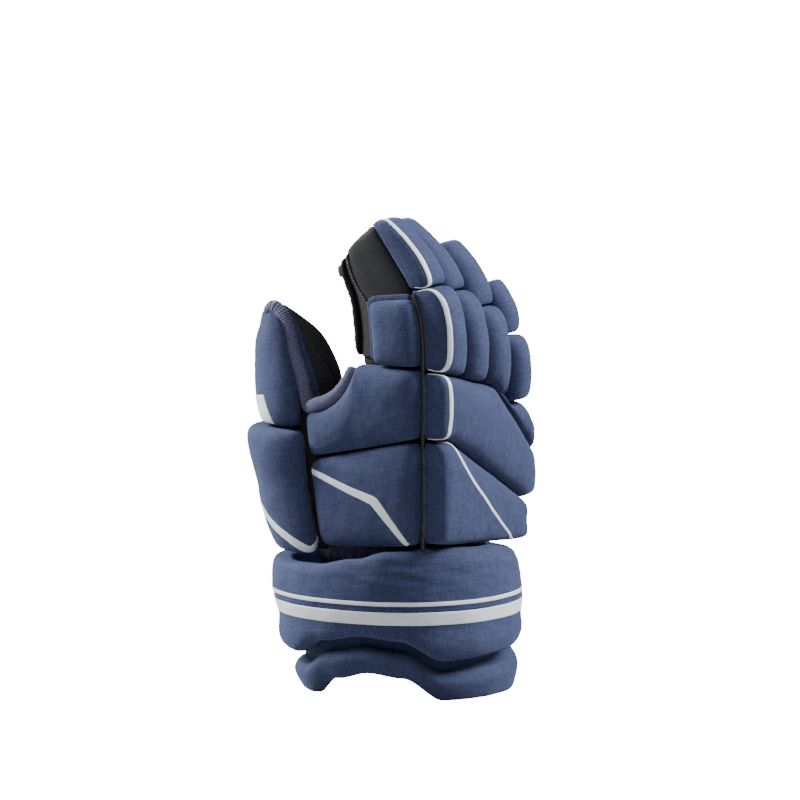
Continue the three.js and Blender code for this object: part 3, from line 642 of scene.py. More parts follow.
def roll_pad(finger, part, start, end, thick, tip_share):
    """A roll on the back of a finger, between two shares of its length; the lowest ones reach down to the
    knuckles, fading in by a straight line."""

    def place(s, v):
        at = between(start, end, v)
        row = finger_at(finger, at)
        half = row.wide / 2 + ROLL_OVERHANG * (1 - tip_share * smooth((at - 0.9) / 0.15))
        thinned = 1 - tip_share * TIP_FALL * smooth((at - 0.72) / 0.35)
        x = finger.x + s * half
        reach = roll_foot(x) - finger.root - SEAM / 2
        z = row.z + reach * np.maximum(0, 1 - at / 0.42)
        return stack(x, row.y, z), -row.across * thinned[..., None]

    halves = (finger.wide / 2, finger.high * (end - start) / 2)
    edge = 4.2 if finger is FINGERS[0] else 2.9
    return make_pad(f"{finger.name}_{part}_roll", place, thick, (edge, 6), 0.12, 0.04, halves)


def knuckle_place(s, v):
    x = between(BACK_WEST, BACK_EAST, s)
    return on_back(x, between(knuckle_low(x), knuckle_high(x), v))


def lower_back_place(s, v):
    x = between(BACK_WEST, LOWER_EAST, s)
    foot = BACK_FOOT_Z - BACK_FOOT_FALL * (x - BACK_WEST) / (LOWER_EAST - BACK_WEST)
    return on_back(x, between(foot, knuckle_low(x) - SEAM, v))


def little_knuckle_place(s, v):
    x = between(LITTLE_WEST, LITTLE_EAST, s)
    roots = FINGERS[3].root - 1.5
    under_ring = (KNEE_Z - roots - 3) * np.maximum(0, 1 - (x - LITTLE_WEST) / 9)
    shoulder = 12 * smooth((x - LITTLE_EAST) / 16 + 1)
    return on_back(x, between(knuckle_high(x) + SEAM, roots + under_ring - shoulder, v))


def upper_side_place(s, v):
    y = between(SIDE_BACK_Y, SIDE_PALM_Y + 1.5 * v, s)
    return on_side(-1, y, between(side_split(y) + SEAM / 2, side_high(y), v))


def lower_side_place(s, v):
    y = between(SIDE_BACK_Y, SIDE_PALM_Y - 5 + 3.5 * v, s)
    foot = lerp(SIDE_FOOT_Z, SIDE_FOOT_Z + 5, (SIDE_PALM_Y - y) / 75)
    return on_side(-1, y, between(foot, side_split(y) - SEAM / 2, v))


def outer_upper_place(s, v):
    y = between(SIDE_BACK_Y, 4, s)
    return on_side(1, y, between(OUTER_SPLIT_Z, FINGERS[3].root - 1, v))


def outer_lower_place(s, v):
    y = between(SIDE_BACK_Y, 14, s)
    return on_side(1, y, between(SIDE_FOOT_Z, OUTER_SPLIT_Z - SEAM, v))


def finger_side_place(finger, side):
    """Field on the side of a finger, behind its roll."""

    def place(s, v):
        row = finger_at(finger, between(0.02, 0.5, v))
        along = between(1.2, row.deep - 15.5, s)
        point = stack(finger.x + side * finger.wide / 2, row.y, row.z) + row.across * along[..., None]
        return point, stack(side, 0.0 * along, 0.0)

    return place


def thumb_place(low_z, high_z, low_turn, high_turn, lip):
    """Field round the back of the thumb, with an outward lip towards its top."""

    def place(s, v):
        z = between(low_z, high_z, v)
        end = np.radians(between(low_turn, high_turn, v))
        point, out = on_thumb(between(THUMB_PALM_ANGLE, end, s), z)
        grown = 1 + lip * smooth((z - THUMB_SPLIT_Z + THUMB_LIP_REACH) / THUMB_LIP_REACH)
        return point, out * grown[..., None]

    return place


PADS = {}
for finger in FINGERS:
    seam = SEAM / 2 / finger.high
    for part, start, end, thick, tip in (
        ("middle", seam, ROLL_JOINT - seam, finger.roll, 0),
        ("tip", ROLL_JOINT + seam, ROLL_END, finger.roll * TIP_ROLL_SHARE, 1),
    ):
        PADS[f"{finger.name}_{part}_roll"] = roll_pad(finger, part, start, end, thick, tip)
half_back = (BACK_EAST - BACK_WEST) / 2
index_side = finger_side_place(FINGERS[0], -1)
little_side = finger_side_place(FINGERS[3], 1)
thumb_upper = thumb_place(THUMB_SPLIT_Z + SEAM, THUMB_FOOT_Z + THUMB_PAD_END * THUMB_HIGH, 197, 184, 0)
thumb_lower = thumb_place(THUMB_FOOT_Z - 1, THUMB_SPLIT_Z, 197, 200, THUMB_LIP)

# Name, field, thickness, edge powers, crown, corner, half sizes in mm and, last, the gap under it
for row in (
    ("knuckle_pad", knuckle_place, BACK_PAD, (12, 5), 0.22, 0.05, (half_back, 22)),
    ("lower_back_pad", lower_back_place, BACK_PAD, (12, 6), 0.16, 0.05, (half_back - 4, 25)),
    ("little_knuckle_pad", little_knuckle_place, BACK_PAD * 0.88, (7, 3.2), 0.05, 0.1, (22, 9)),
    ("upper_side_pad", upper_side_place, SIDE_PAD, (6, 5), 0.32, 0.05, (37, 20)),
    ("lower_side_pad", lower_side_place, SIDE_PAD, (6, 7), 0.28, 0.06, (36, 30)),
    ("outer_upper_pad", outer_upper_place, OUTER_PAD, (6, 5), 0.1, 0.07, (25, 17)),
    ("outer_lower_pad", outer_lower_place, OUTER_PAD, (6, 6), 0.1, 0.07, (30, 26)),
    ("index_side_pad", index_side, FINGER_SIDE_PAD, (5, 6), 0.22, 0.07, (16, 21)),
    ("little_side_pad", little_side, FINGER_SIDE_PAD, (5, 6), 0.12, 0.07, (16, 17)),
    ("thumb_upper_pad", thumb_upper, THUMB_UPPER_PAD, (6, 4.5), 0.05, 0.06, (32, 37), THUMB_SEAT),
    ("thumb_lower_pad", thumb_lower, THUMB_LOWER_PAD, (7, 7), 0.05, 0.06, (36, 38), THUMB_SEAT),
):
    PADS[row[0]] = make_pad(*row)


# Films, pipings and stitches


def smooth_path(points, count):
    """Even points along a rounded polyline, whose corners are cut three times by quarters."""
    path = np.array(points, float)
    for _ in range(3):
        low = 0.75 * path[:-1] + 0.25 * path[1:]
        high = 0.25 * path[:-1] + 0.75 * path[1:]
        inner = np.stack([low, high], 1).reshape(-1, path.shape[1])
        path = np.concatenate([path[:1], inner, path[-1:]])
    run = run_up(path)
    return at_lengths(np.linspace(0, run[-1], count), run, path)


def film_on(pad, name, path, rise, node):
    """Film or piping on a pad: path rows hold u and v as shares of the pad and the width in mm; the section
    is a flat-topped hump of this rise, a circle's cosine and sine to the power 0.6."""
    count = 140
    rows = smooth_path(path, count) * np.array([pad.wide, pad.long, 1.0])
    along = unit(np.gradient(rows[:, :2], axis=0))
    across = np.stack([-along[:, 1], along[:, 0]], -1)
    turn = np.linspace(np.pi, -np.pi, 20, endpoint=False)
    half = bent(np.cos(turn), 0.6)[None, :, None] * rows[:, None, 2:] / 2
    place = rows[:, None, :2] + across[:, None] * half
    u = np.clip(place[..., 0], 0.4, pad.wide - 0.4)
    v = np.clip(place[..., 1], 0.4, pad.long - 0.4)
    high = rise * bent(np.sin(turn), 0.6) * end_taper(count, 40, 0)[:, None]
    rings = pad_face(pad, u, v) + pad_normal(pad, u, v) * high[..., None]
    put(name, *tube_mesh(rings), FILM, [node])


def patch_on(pad, name, corners, rise):
    """Flat patch on a pad: a grid between four corners, given as shares of the pad, with an eased edge."""
    a, b = grid(np.linspace(0, 1, 48), np.linspace(0, 1, 48))
    weights = np.stack([(1 - a) * (1 - b), a * (1 - b), a * b, (1 - a) * b], -1)
    place = weights @ np.array(corners) * np.array([pad.wide, pad.long])
    u, v = place[..., 0], place[..., 1]
    out = pad_normal(pad, u, v)
    face = pad_face(pad, u, v)
    high = rise * bulge(2 * a - 1, 16) * bulge(2 * b - 1, 16)
    put(name, *two_sided(face + out * high[..., None], face - out * 0.15, u, v), FILM)


def pad_row(pad, path, long, radius):
    """Row of stitches on a pad, along a path given as shares of the pad."""
    rows = smooth_path(path, 240) * np.array([pad.wide, pad.long])
    u, v = rows[:, 0], rows[:, 1]
    out = pad_normal(pad, u, v)
    return pad_face(pad, u, v) + out * radius * 0.4, out, long, radius


def stitch_row(points, outs, long, radius):
    """Closed capsules laid end to end along a path: each is a ring swept by a sine from tip to tip."""
    run = run_up(points)
    count = max(int(run[-1] / (long * STITCH_PITCH)), 1)
    middle = (np.arange(count) + 0.5) * run[-1] / count
    along = unit(at_lengths(middle + 0.5, run, points) - at_lengths(middle - 0.5, run, points))
    side = unit(np.cross(along, unit(at_lengths(middle, run, outs))))
    out = np.cross(side, along)
    tip = np.linspace(0, np.pi, 6)[:, None, None, None]
    turn = (np.arange(6) * np.pi / 3)[:, None, None]
    ring = np.cos(turn) * side + np.sin(turn) * out
    shape = at_lengths(middle, run, points) - np.cos(tip) * long / 2 * along + np.sin(tip) * radius * ring
    rows, columns = grid_faces(6, 6, False, True)
    single = rows * 6 + columns % 6
    faces = (single + np.arange(count)[:, None, None] * 36).reshape(-1, 4)
    return np.moveaxis(shape, 2, 0).reshape(-1, 3), faces


def stitches(name, rows, material):
    """One piece of several rows of stitches."""
    points = np.zeros((0, 3))
    faces = np.zeros((0, 4), int)
    for row in rows:
        row_points, row_faces = stitch_row(*row)
        faces = np.concatenate([faces, row_faces + len(points)])
        points = np.concatenate([points, row_points])
    put(name, points, faces, np.zeros((len(faces), 4, 2)), material)


def sweep(path, outs, half_wide, half_high, sides, square=2.0):
    """Rings of a rounded section carried along a path, with the section's height along outs."""
    side = beside(path, outs)
    out = np.cross(side, unit(np.gradient(path, axis=0)))
    turn = (np.arange(sides) * 2 * np.pi / sides)[:, None]
    wide = bent(np.cos(turn), 2 / square) * side[:, None] * np.reshape(half_wide, (-1, 1, 1))
    high = bent(np.sin(turn), 2 / square) * out[:, None] * np.reshape(half_high, (-1, 1, 1))
    return path[:, None] + wide + high


# Cuff


def cuff_point(degrees, inset, z):
    """Rounded oval round the wrist, sheared towards the palm as it rises."""
    angle = np.radians(degrees)
    east = (np.abs(np.cos(angle)) / CUFF_HALF_X) ** CUFF_SQUARE
    north = (np.abs(np.sin(angle)) / CUFF_HALF_Y) ** CUFF_SQUARE
    reach = (east + north) ** (-1 / CUFF_SQUARE) - inset
    middle_y = CUFF_SHEAR * (z - CUFF_MID_Z)
    return stack(reach * np.cos(angle), middle_y + reach * np.sin(angle), z)


def band_foot(degrees):
    """Lower edge of the band: lifted over the rim's notches and at the back of the hand."""
    notch = eased_step(CUFF_ROWS, "notch", degrees) * (NOTCH_HIGH - NOTCH_CLEAR)
    return BAND_LIFT + notch + BACK_LIFT * eased_step(CUFF_ROWS, "back", degrees)


def band_point(degrees, turn, lift=0.0):
    """Padded band: a rounded upright section with a shallow waist, carried round the wrist."""
    low = band_foot(degrees)
    high = BAND_PEAK_Z * eased_step(CUFF_ROWS, "top", degrees)
    power = 2 / ROUND_SQUARE
    z = (low + high) / 2 + (high - low) / 2 * bent(np.sin(turn), power)
    waist = np.where(np.cos(turn) > 0, 2.2 * np.exp(-(((z - 48) / 9) ** 2)), 0)
    around = degrees * 1.35
    crease = 0.5 * ripple(around, z, 24, 5) + 0.25 * ripple(0.3 * around, z, 7, 6)
    crease = crease + 0.9 * smooth((z - 66) / 24) * ripple(0.18 * around, z + 0.1 * around, 11, 12)
    inset = BAND_THICK / 2 * (1 - bent(np.cos(turn), power)) + waist
    return cuff_point(degrees, inset - (crease + lift) * np.clip(np.cos(turn) * 3, -1, 1), z)


def flare_profile():
    """Section of the flare, as insets, shares up to the band's foot and shares up the thin wall inside the
    band: thin at the top, padded and rounded at the rim."""
    inner = BAND_THICK + GAP
    top = inner + FLARE_TOP_THICK
    rim = [(0.1, 0.67), (-0.19, 0.46), (0, 0.19), (0.33, 0), (0.9, 0), (1, 0.19), (1.14, 0.61)]
    padded = [(FLARE_RIM + share * FLARE_THICK, up, 0) for share, up in rim]
    wall = [(inner, 0, 1), (inner, 0, 0.5), (inner - 0.16 * BAND_THICK, 0.8, 0)]
    return np.array([*wall, *padded, (top, 0, 0.5), (top, 0, 1)])


def fine_profile(rows, count):
    """Closed curve through the profile's rows, by cubic pieces whose slopes join their neighbours."""
    a, b, c, d = (np.roll(rows, shift, 0)[:, None] for shift in (1, 0, -1, -2))
    t = np.linspace(0, 1, count, endpoint=False)[None, :, None]
    cubic = b + 0.5 * t * (c - a + t * (2 * a - 5 * b + 4 * c - d + t * (3 * (b - c) + d - a)))
    return cubic.reshape(-1, rows.shape[1])


def ring_wall(outer, inner):
    """Closed wall from an outer and an inner stack of rings."""
    return tube_mesh(np.concatenate([outer, inner[::-1]]), wrap_rows=True)


# Shader values and materials


class Value:
    """Output of a shader node that can be reckoned with: each operation adds a Math node to its tree."""

    def __init__(self, tree, socket):
        self.tree = tree
        self.socket = socket

    def other(self, label):
        """Another output of the same node."""
        return Value(self.tree, self.socket.node.outputs[label])

    def math(self, operation, *others):
        node = self.tree.nodes.new("ShaderNodeMath")
        node.operation = operation
        for socket, value in zip(node.inputs, (self, *others)):
            feed(socket, value)
        return Value(self.tree, node.outputs[0])

    def __add__(self, other):
        return self.math("ADD", other)

    def __sub__(self, other):
        return self.math("SUBTRACT", other)

    def __mul__(self, other):
        return self.math("MULTIPLY", other)

    def __truediv__(self, other):
        return self.math("DIVIDE", other)


def feed(socket, value):
    """Link a Value to a socket, or set a plain number or colour on it."""
    if isinstance(value, Value):
        value.tree.links.new(value.socket, socket)
    else:
        socket.default_value = value


def add_node(tree, kind, output, inputs, group=None):
    """Node of this kind with these inputs fed, or one that runs a group; gives one of its outputs."""
    node = tree.nodes.new(f"ShaderNode{kind}")
    if group:
        node.node_tree = group
    for label, value in inputs.items():
        feed(node.inputs[label], value)
    return Value(tree, node.outputs[output])


def noise(place, scale, detail, roughness=0.5):
    inputs = {"Vector": place, "Scale": scale, "Detail": detail, "Roughness": roughness}
    return add_node(place.tree, "TexNoise", "Fac", inputs)


def pair(x, y):
    return add_node(x.tree, "CombineXYZ", 0, {0: x, 1: y})


def ramp(value, low, high):
    """Share of a value between two bounds, kept from 0 to 1."""
    return add_node(value.tree, "MapRange", 0, {"Value": value, "From Min": low, "From Max": high})


def blend(share, low, high):
    """Value between two others by a share."""
    return add_node(share.tree, "Mix", 0, {0: share, 2: low, 3: high})


def colour(shader, share, low, high):
    """Give the shader a base colour between two plain colours by a share."""
    node = share.tree.nodes.new("ShaderNodeMix")
    node.data_type = "RGBA"
    feed(node.inputs["Factor"], share)
    feed(node.inputs[6], (*low, 1))
    feed(node.inputs[7], (*high, 1))
    share.tree.links.new(node.outputs[2], shader.inputs["Base Color"])


def bump(shader, height, distance, strength):
    inputs = {"Height": height, "Distance": distance, "Strength": strength}
    feed(shader.inputs["Normal"], add_node(height.tree, "Bump", 0, inputs))


def object_place(tree):
    return add_node(tree, "TexCoord", "Object", {})


def cloth_place(tree):
    """Lengths across and along the cloth, in mm."""
    node = tree.nodes.new("ShaderNodeUVMap")
    node.uv_map = "cloth"
    return Value(tree, node.outputs[0])


def weave(tree, pitch):
    # Threads output: the threads' tone, with painted shade in the gaps between them
    inputs = {"Cloth": cloth_place(tree), "Pitch": pitch}
    return add_node(tree, "Group", "Threads", inputs, CROSS_WEAVE)


def parts_of(vector):
    first = add_node(vector.tree, "SeparateXYZ", 0, {0: vector})
    return first, first.other(1)


def start_group(name, inputs, outputs):
    """New node group with these inputs and outputs; gives its tree, input values and output node."""
    tree = bpy.data.node_groups.new(name, "ShaderNodeTree")
    for label, kind in inputs.items():
        tree.interface.new_socket(label, in_out="INPUT", socket_type=f"NodeSocket{kind}")
    for label in outputs:
        tree.interface.new_socket(label, in_out="OUTPUT", socket_type="NodeSocketFloat")
    node = tree.nodes.new("NodeGroupInput")
    given = [Value(tree, node.outputs[label]) for label in inputs]
    return tree, given, tree.nodes.new("NodeGroupOutput")


def cross_weave_group():
    """Plain weave in mm: each thread has its own tone, drawn long along it, and the two ways take turns on
    top by the sign of the product of a sine along each way. Threads adds painted shade: it darkens towards
    each thread's edges, in the gaps between threads. Height feeds the bump."""
    kinds = {"Cloth": "Vector", "Pitch": "Float"}
    tree, (cloth, pitch), out = start_group("cross weave", kinds, ("Threads", "Height"))
    across, along = parts_of(cloth)
    u = across / pitch
    v = along / pitch
    warp = noise(pair(u.math("FLOOR") * 7.3, v * 0.15), 1.0, 1.0, 0.6)
    weft = noise(pair(u * 0.11, v.math("FLOOR") * 5.7), 1.0, 1.0, 0.6)
    sine_u = (u * math.pi).math("SINE")
    sine_v = (v * math.pi).math("SINE")
    turns = (sine_u * sine_v * 1.5 + 0.5).math("MAXIMUM", 0.0).math("MINIMUM", 1.0)
    shade = blend(turns, warp, weft)
    height = blend(turns, sine_u.math("ABSOLUTE"), sine_v.math("ABSOLUTE"))
    # Threads: each thread's tone plus its height, which paints shade into the gaps between threads
    feed(out.inputs["Threads"], shade * 0.7 + height * 0.55)
    feed(out.inputs["Height"], shade * 0.5 + height)
    return tree


def grain_group():
    """Leather or suede grain on Object coordinates: cells for the creases and fine noise for the nap."""
    tree, (size,), out = start_group("grain", {"Size": "Float"}, ("Nap", "Height"))
    place = object_place(tree)
    node = tree.nodes.new("ShaderNodeTexVoronoi")
    node.feature = "DISTANCE_TO_EDGE"
    feed(node.inputs["Vector"], place)
    feed(node.inputs["Scale"], size)
    crease = (Value(tree, node.outputs["Distance"]) * 4).math("MINIMUM", 1)
    nap = noise(place, 1400, 3, 0.6)
    feed(out.inputs["Nap"], nap)
    feed(out.inputs["Height"], crease * 0.7 + nap)
    return tree


CROSS_WEAVE = cross_weave_group()
GRAIN = grain_group()


def start_material(name, values):
    """New material of this name, with these plain values on its shader."""
    material = bpy.data.materials.new(name)
    material.use_nodes = True
    shader = material.node_tree.nodes["Principled BSDF"]
    for label, value in values.items():
        shader.inputs[label].default_value = value
    return material, material.node_tree, shader


def navy_cloth():
    """Cross-woven navy cloth: dark and light threads with painted shade in the gaps between them, a slow
    heather and a soft sheen.
    """
    values = {
        "Roughness": 0.78, "Specular IOR Level": 0.22,
        "Sheen Weight": 0.18, "Sheen Roughness": 0.45, "Sheen Tint": (0.45, 0.6, 1, 1),
    }
    material, tree, shader = start_material("navy cloth", values)
    threads = weave(tree, NAVY_PITCH)
    heather = (noise(object_place(tree), 60, 3) - 0.5) * 0.1
    # Base colour: the weave's thread tone with its painted gap shade, plus a random heather
    colour(shader, heather + ramp(threads, 0.26, 1.07), (0.003, 0.0045, 0.014), (0.046, 0.063, 0.158))
    bump(shader, threads.other("Height"), 0.00022, 0.9)
    return material


def black_mesh():
    """Black stretch mesh: a fine diagonal knit of two crossing waves."""
    values = {"Roughness": 0.7, "Specular IOR Level": 0.18, "Sheen Weight": 0.06}
    material, tree, shader = start_material("black mesh", values)
    u, v = parts_of(cloth_place(tree))
    first = ((u + v) * 2.3).math("SINE")
    second = ((u - v) * 2.3).math("SINE")
    knit = first * second * 0.5 + 0.5
    colour(shader, knit, (0.0004, 0.0004, 0.0005), (0.026, 0.027, 0.03))
    bump(shader, knit, 0.0002, 0.8)
    return material


def suede(name, low, high, roughness):
    """Thin leather: nap in the colour, creases and nap in the bump."""
    values = {"Roughness": roughness, "Specular IOR Level": 0.2}
    material, tree, shader = start_material(name, values)
    nap = add_node(tree, "Group", "Nap", {"Size": GRAIN_SIZE}, GRAIN)
    colour(shader, ramp(nap, 0.3, 0.7), low, high)
    bump(shader, nap.other("Height"), 0.00018, 0.8)
    return material


def rib_knit():
    """Purple-grey rib: a wave along the piece, with finer stitches across it."""
    values = {"Roughness": 0.85, "Sheen Weight": 0.12, "Sheen Tint": (0.7, 0.7, 1, 1)}
    material, tree, shader = start_material("rib knit", values)
    u, v = parts_of(cloth_place(tree))
    ribs = (v * (2 * math.pi / RIB_PITCH)).math("SINE")
    fine = (u * (2 * math.pi / KNIT_PITCH)).math("SINE")
    rib = ribs * 0.4 + (fine * 0.1 + 0.5)
    wool = (noise(object_place(tree), 500, 2) - 0.5) * 0.5
    colour(shader, wool + rib, (0.014, 0.014, 0.032), (0.14, 0.14, 0.27))
    bump(shader, rib, 0.0004, 0.9)
    return material


def white_film():
    """Satin white film whose colour follows the cloth's weave under it: a faint tone of the threads, with
    painted shade in the gaps between them.
    """
    material, tree, shader = start_material("white film", {"Roughness": 0.42})
    threads = weave(tree, FILM_PITCH)
    # Colour from the weave, with its painted shade in the gaps between threads
    colour(shader, ramp(threads, 0.5, 1.1), (0.6, 0.65, 0.69), (0.72, 0.77, 0.81))
    bump(shader, threads.other("Height"), 0.00008, 0.5)
    return material


def thread(name, light):
    """Twisted sewing thread: fine noise in its colour."""
    material, tree, shader = start_material(name, {"Roughness": 0.6})
    colour(shader, noise(object_place(tree), 2500, 1), [0.55 * value for value in light], light)
    return material


NAVY = navy_cloth()
MESH = black_mesh()
LEATHER = suede("black leather", (0.01, 0.01, 0.011), (0.034, 0.034, 0.037), 0.72)
TAB_SUEDE = suede("tab suede", (0.03, 0.028, 0.026), (0.1, 0.093, 0.086), 0.9)
PALM_SUEDE = suede("palm suede", (0.006, 0.006, 0.0065), (0.02, 0.019, 0.0185), 0.85)
KNIT = rib_knit()
FILM = white_film()
NAVY_THREAD = thread("navy thread", (0.05, 0.07, 0.16))
BEIGE_THREAD = thread("beige thread", (0.32, 0.3, 0.26))


# Pieces. Those with a seam give its rows of stitches: points, directions out, length and radius of a stitch


def make_hand():
    """Hand shell: skin of the hand with the thumb's hole left out."""
    share, angle = grid(np.linspace(0, 1, 80), even_turns(4, 220, HAND_WIDE / 2, HAND_DEEP / 2))
    points = hand_point(share, angle, 0.0)
    row = thumb_at(points[..., 2])
    reach = np.hypot(points[..., 0] - row.x, points[..., 1] - row.y)
    inside = (reach < row.radius - STALL_WALL) & (points[..., 2] > THUMB_FOOT_Z + STALL_WALL)
    put_skin("hand_skin", points, inside, np.any, LEATHER, "hand_shell", SHELL_WALL)


def make_thumb():
    """Thumb stall: round sections with a domed tip, left out where they lie inside the hand."""
    z, angle = grid(THUMB_FOOT_Z + np.linspace(0, 1, 90) * THUMB_HIGH, np.arange(96) * 2 * np.pi / 96)
    rings, _ = on_thumb(angle, z)
    rings = np.concatenate([drawn(rings[:1]), rings, drawn(rings[-1:])])
    section = hand_section(np.clip(rings[..., 2], WRIST_Z, WRIST_Z + HAND_HIGH))
    east = np.abs((rings[..., 0] - HAND_MID_X) / (section.half_x - 1.2)) ** section.square
    north = np.abs((rings[..., 1] - section.y) / (section.half_y - 1.2)) ** section.square
    put_skin("thumb_skin", rings, east + north < 1, np.all, LEATHER, "thumb_stall", STALL_WALL)


def make_stall(finger):
    """Finger stall: rounded squares up the finger, closed by a dome."""
    shares = np.concatenate([np.linspace(0, 1.02, 64), 1.02 + 0.06 * np.sin(np.linspace(0.2, np.pi / 2, 8))])
    at, angle = grid(shares, even_turns(ROUND_SQUARE, 80, finger.wide / 2, FINGER_DEEP / 2))
    rings = finger_point(finger, at, angle, 0.0)
    shrink = np.sqrt(np.clip(1 - ((at - 1.0) / 0.085).clip(0, 1) ** 2, 0, 1))
    rings = lerp(drawn(rings), rings, shrink[..., None])
    rings = np.concatenate([rings, drawn(rings[-1:])])
    inside = np.zeros(rings.shape[:2], bool)
    put_skin(f"{finger.name}_sleeve", rings, inside, np.all, MESH, f"{finger.name}_stall", STALL_WALL)


def make_palm_strip(finger):
    """Leather strip down the palm side of a finger, as a thin pad with stitches round its border."""

    def place(s, v):
        at = between(0.06, 0.95, v)
        row = finger_at(finger, at)
        x = finger.x + s * row.wide * 0.46
        point = stack(x, row.y, row.z) + row.across * row.deep[..., None]
        point[..., 2] += root_lift(finger, x, at, GAP) - palm_fall(at)
        return point, row.across

    halves = (finger.wide * 0.46, finger.high / 2)
    pad = make_pad(f"{finger.name}_palm_leather", place, 3.4, (6, 10), 0, 0.1, halves)
    stuffed_pad(pad, PALM_SUEDE, [f"{finger.name}_palm_strip"])
    return pad_row(pad, [(0.1, 0.05), (0.1, 0.95), (0.9, 0.95), (0.9, 0.05)], 1.5, 0.22)


def make_band():
    turn, degrees = grid(even_turns(ROUND_SQUARE, 130, BAND_THICK / 2, 30), CUFF_DEGREES)
    piece = put("cuff_roll", *tube_mesh(band_point(degrees, turn), wrap_rows=True), NAVY, ["cuff_band"])


def make_flare():
    """Flare: its section's heights follow the rim and the band's lower edge round the wrist."""
    rows = flare_profile()
    foot = eased_step(CUFF_ROWS, "notch", CUFF_DEGREES) * NOTCH_HIGH
    band = band_foot(CUFF_DEGREES)
    lip = lerp(foot, band, FLARE_LIP_SHARE)
    inset, up, rise = (rows[:, k : k + 1] for k in range(3))
    z = np.where(rise > 0, lerp(lip, FLARE_TOP_Z, rise), lerp(foot, band, up))
    section = np.stack(np.broadcast_arrays(inset, z), -1).reshape(len(rows), -1)
    section = fine_profile(section, 9).reshape(9 * len(rows), -1, 2)
    z = np.maximum(section[..., 1], 0)
    inset = section[..., 0] + 0.3 * ripple(CUFF_DEGREES * 1.3, z, 20, 9)
    rings = cuff_point(np.broadcast_to(CUFF_DEGREES, z.shape), inset, z)
    piece = put("cuff_skirt", *tube_mesh(rings, wrap_rows=True), NAVY, ["cuff_flare"])


def make_liner():
    """Knit tube from inside the cuff up to the hand, eased from the cuff's oval to the hand's section."""
    inset = BAND_THICK + 3 * GAP + FLARE_TOP_THICK
    share, angle = grid(np.linspace(0, 1, 30), np.arange(180) * 2 * np.pi / 180)
    z = lerp(LINER_FOOT_Z, WRIST_Z - GAP, share)

    def skin(wall):
        low = cuff_point(np.degrees(angle), inset + wall, z)
        high = section_point(hand_section(np.full_like(z, WRIST_Z)), angle, wall, z)
        return lerp(low, high, smooth((share - 0.2) / 0.8)[..., None])

    put("wrist_knit", *ring_wall(skin(0), skin(LINER_WALL)), KNIT, ["wrist_liner"])


# Way of the binding on the thumb: degrees round it, share of its height, and lift in radii
BINDING_ROWS = np.array([
    (135, 0.94, 0.5), (158, 0.98, 0.2), (182, 0.985, 0.1), (195, 0.95, 0.1), (190, 0.88, 0),
    (195, 0.8, 0), (201, 0.72, 0), (205, 0.64, 0), (209, 0.585, 0),
])


def make_binding():
    """Knit band folded over the edge, from the thumb's tip down to the crotch and up to the index finger: a
    flat oval carried along its way, with a seam of stitches on both sides."""
    turn, share, lift = BINDING_ROWS.T
    point, out = on_thumb(np.radians(turn), THUMB_FOOT_Z + share * THUMB_HIGH)
    thumb = point + out * (BINDING_RADIUS * (1 + lift) + 2 * GAP)[:, None]
    y = np.linspace(SIDE_PALM_Y - 5, WEB_START_Y + 2, 6)
    point, out = on_side(-1, y, side_high(y) + BINDING_RADIUS + GAP)
    web = point + out * (BINDING_RADIUS + GAP + 4.5) + [0.0, 0.0, BINDING_WIDE - BINDING_RADIUS]
    path = smooth_path(np.concatenate([thumb, web]), 220)
    outs = np.tile((-0.94, -0.34, 0.0), (len(path), 1))
    size = end_taper(len(path)) * (1 + 0.05 * ripple(np.arange(len(path)), 0 * path[:, 0], 14, 31))
    rings = sweep(path, outs, BINDING_WIDE * size, BINDING_RADIUS * size, 30, 2.4)
    put("thumb_edge_binding", *tube_mesh(rings), KNIT, ["thumb_binding"])
    side = beside(path, outs) * BINDING_WIDE
    return [(path + side * share + outs * BINDING_RADIUS * 0.55, outs, 1.7, 0.26) for share in (-0.86, 0.86)]


def cloth_edge(name, path, outs, half_wide, half_high):
    """Flat cloth edge along a path, falling at both ends."""
    ends = end_taper(len(path))
    put(name, *tube_mesh(sweep(path, outs, half_wide * ends, half_high * ends, 18, 3)), NAVY)


def make_flange():
    """Cloth edge beside the index finger's side pad, up its palm edge and over its top."""
    rise, _ = index_side(np.full(12, 1.22), np.linspace(-0.92, 0.94, 12))
    over, _ = index_side(np.linspace(1.0, -0.9, 10), np.full(10, 1.08))
    path = smooth_path(np.concatenate([rise, over]), 180)
    outs = np.tile([-1.0, 0.0, 0.0], (len(path), 1))
    path = path + outs * 0.9
    cloth_edge("side_pad_edge", path, outs, 2.5, 1.0)
    return path + outs * 0.85, outs, 2.0, 0.3


def make_thumb_flange():
    """Cloth edge beside the thumb's binding, on the thumb's skin."""
    turn, share, _ = BINDING_ROWS[3:].T
    point, out = on_thumb(np.radians(turn + 14), THUMB_FOOT_Z + share * THUMB_HIGH)
    path = smooth_path(point + out * 1.2, 160)
    outs = unit(smooth_path(out, 160))
    cloth_edge("thumb_edge_cloth", path, outs, 3.0, 1.1)
    return path + beside(path, outs) * 1.4 + outs * 1.1, outs, 1.9, 0.28


def make_wrist_ring():
    """Gathered rib knit round the wrist between the pads and the cuff: a low bulge on the hand's skin, with
    sixty ribs round it."""
    turns = even_turns(2.5, 300, HAND_WIDE / 2, HAND_DEEP / 2)
    z, angle = grid(np.linspace(RING_LOW_Z, RING_HIGH_Z, 20), turns)
    section = hand_section(np.maximum(z, WRIST_Z))
    hump = np.sin(np.pi * (z - RING_LOW_Z) / (RING_HIGH_Z - RING_LOW_Z))
    high = 0.4 + (2.9 - 2.3 * np.cos(angle)) * hump**0.8 + 0.4 * np.sin(angle * 60) * hump
    outer = section_point(section, angle, -high, z)
    points, faces, uv = ring_wall(outer, section_point(section, angle, -0.1, z))
    put("wrist_rib_ring", points, faces, uv[..., ::-1], KNIT)


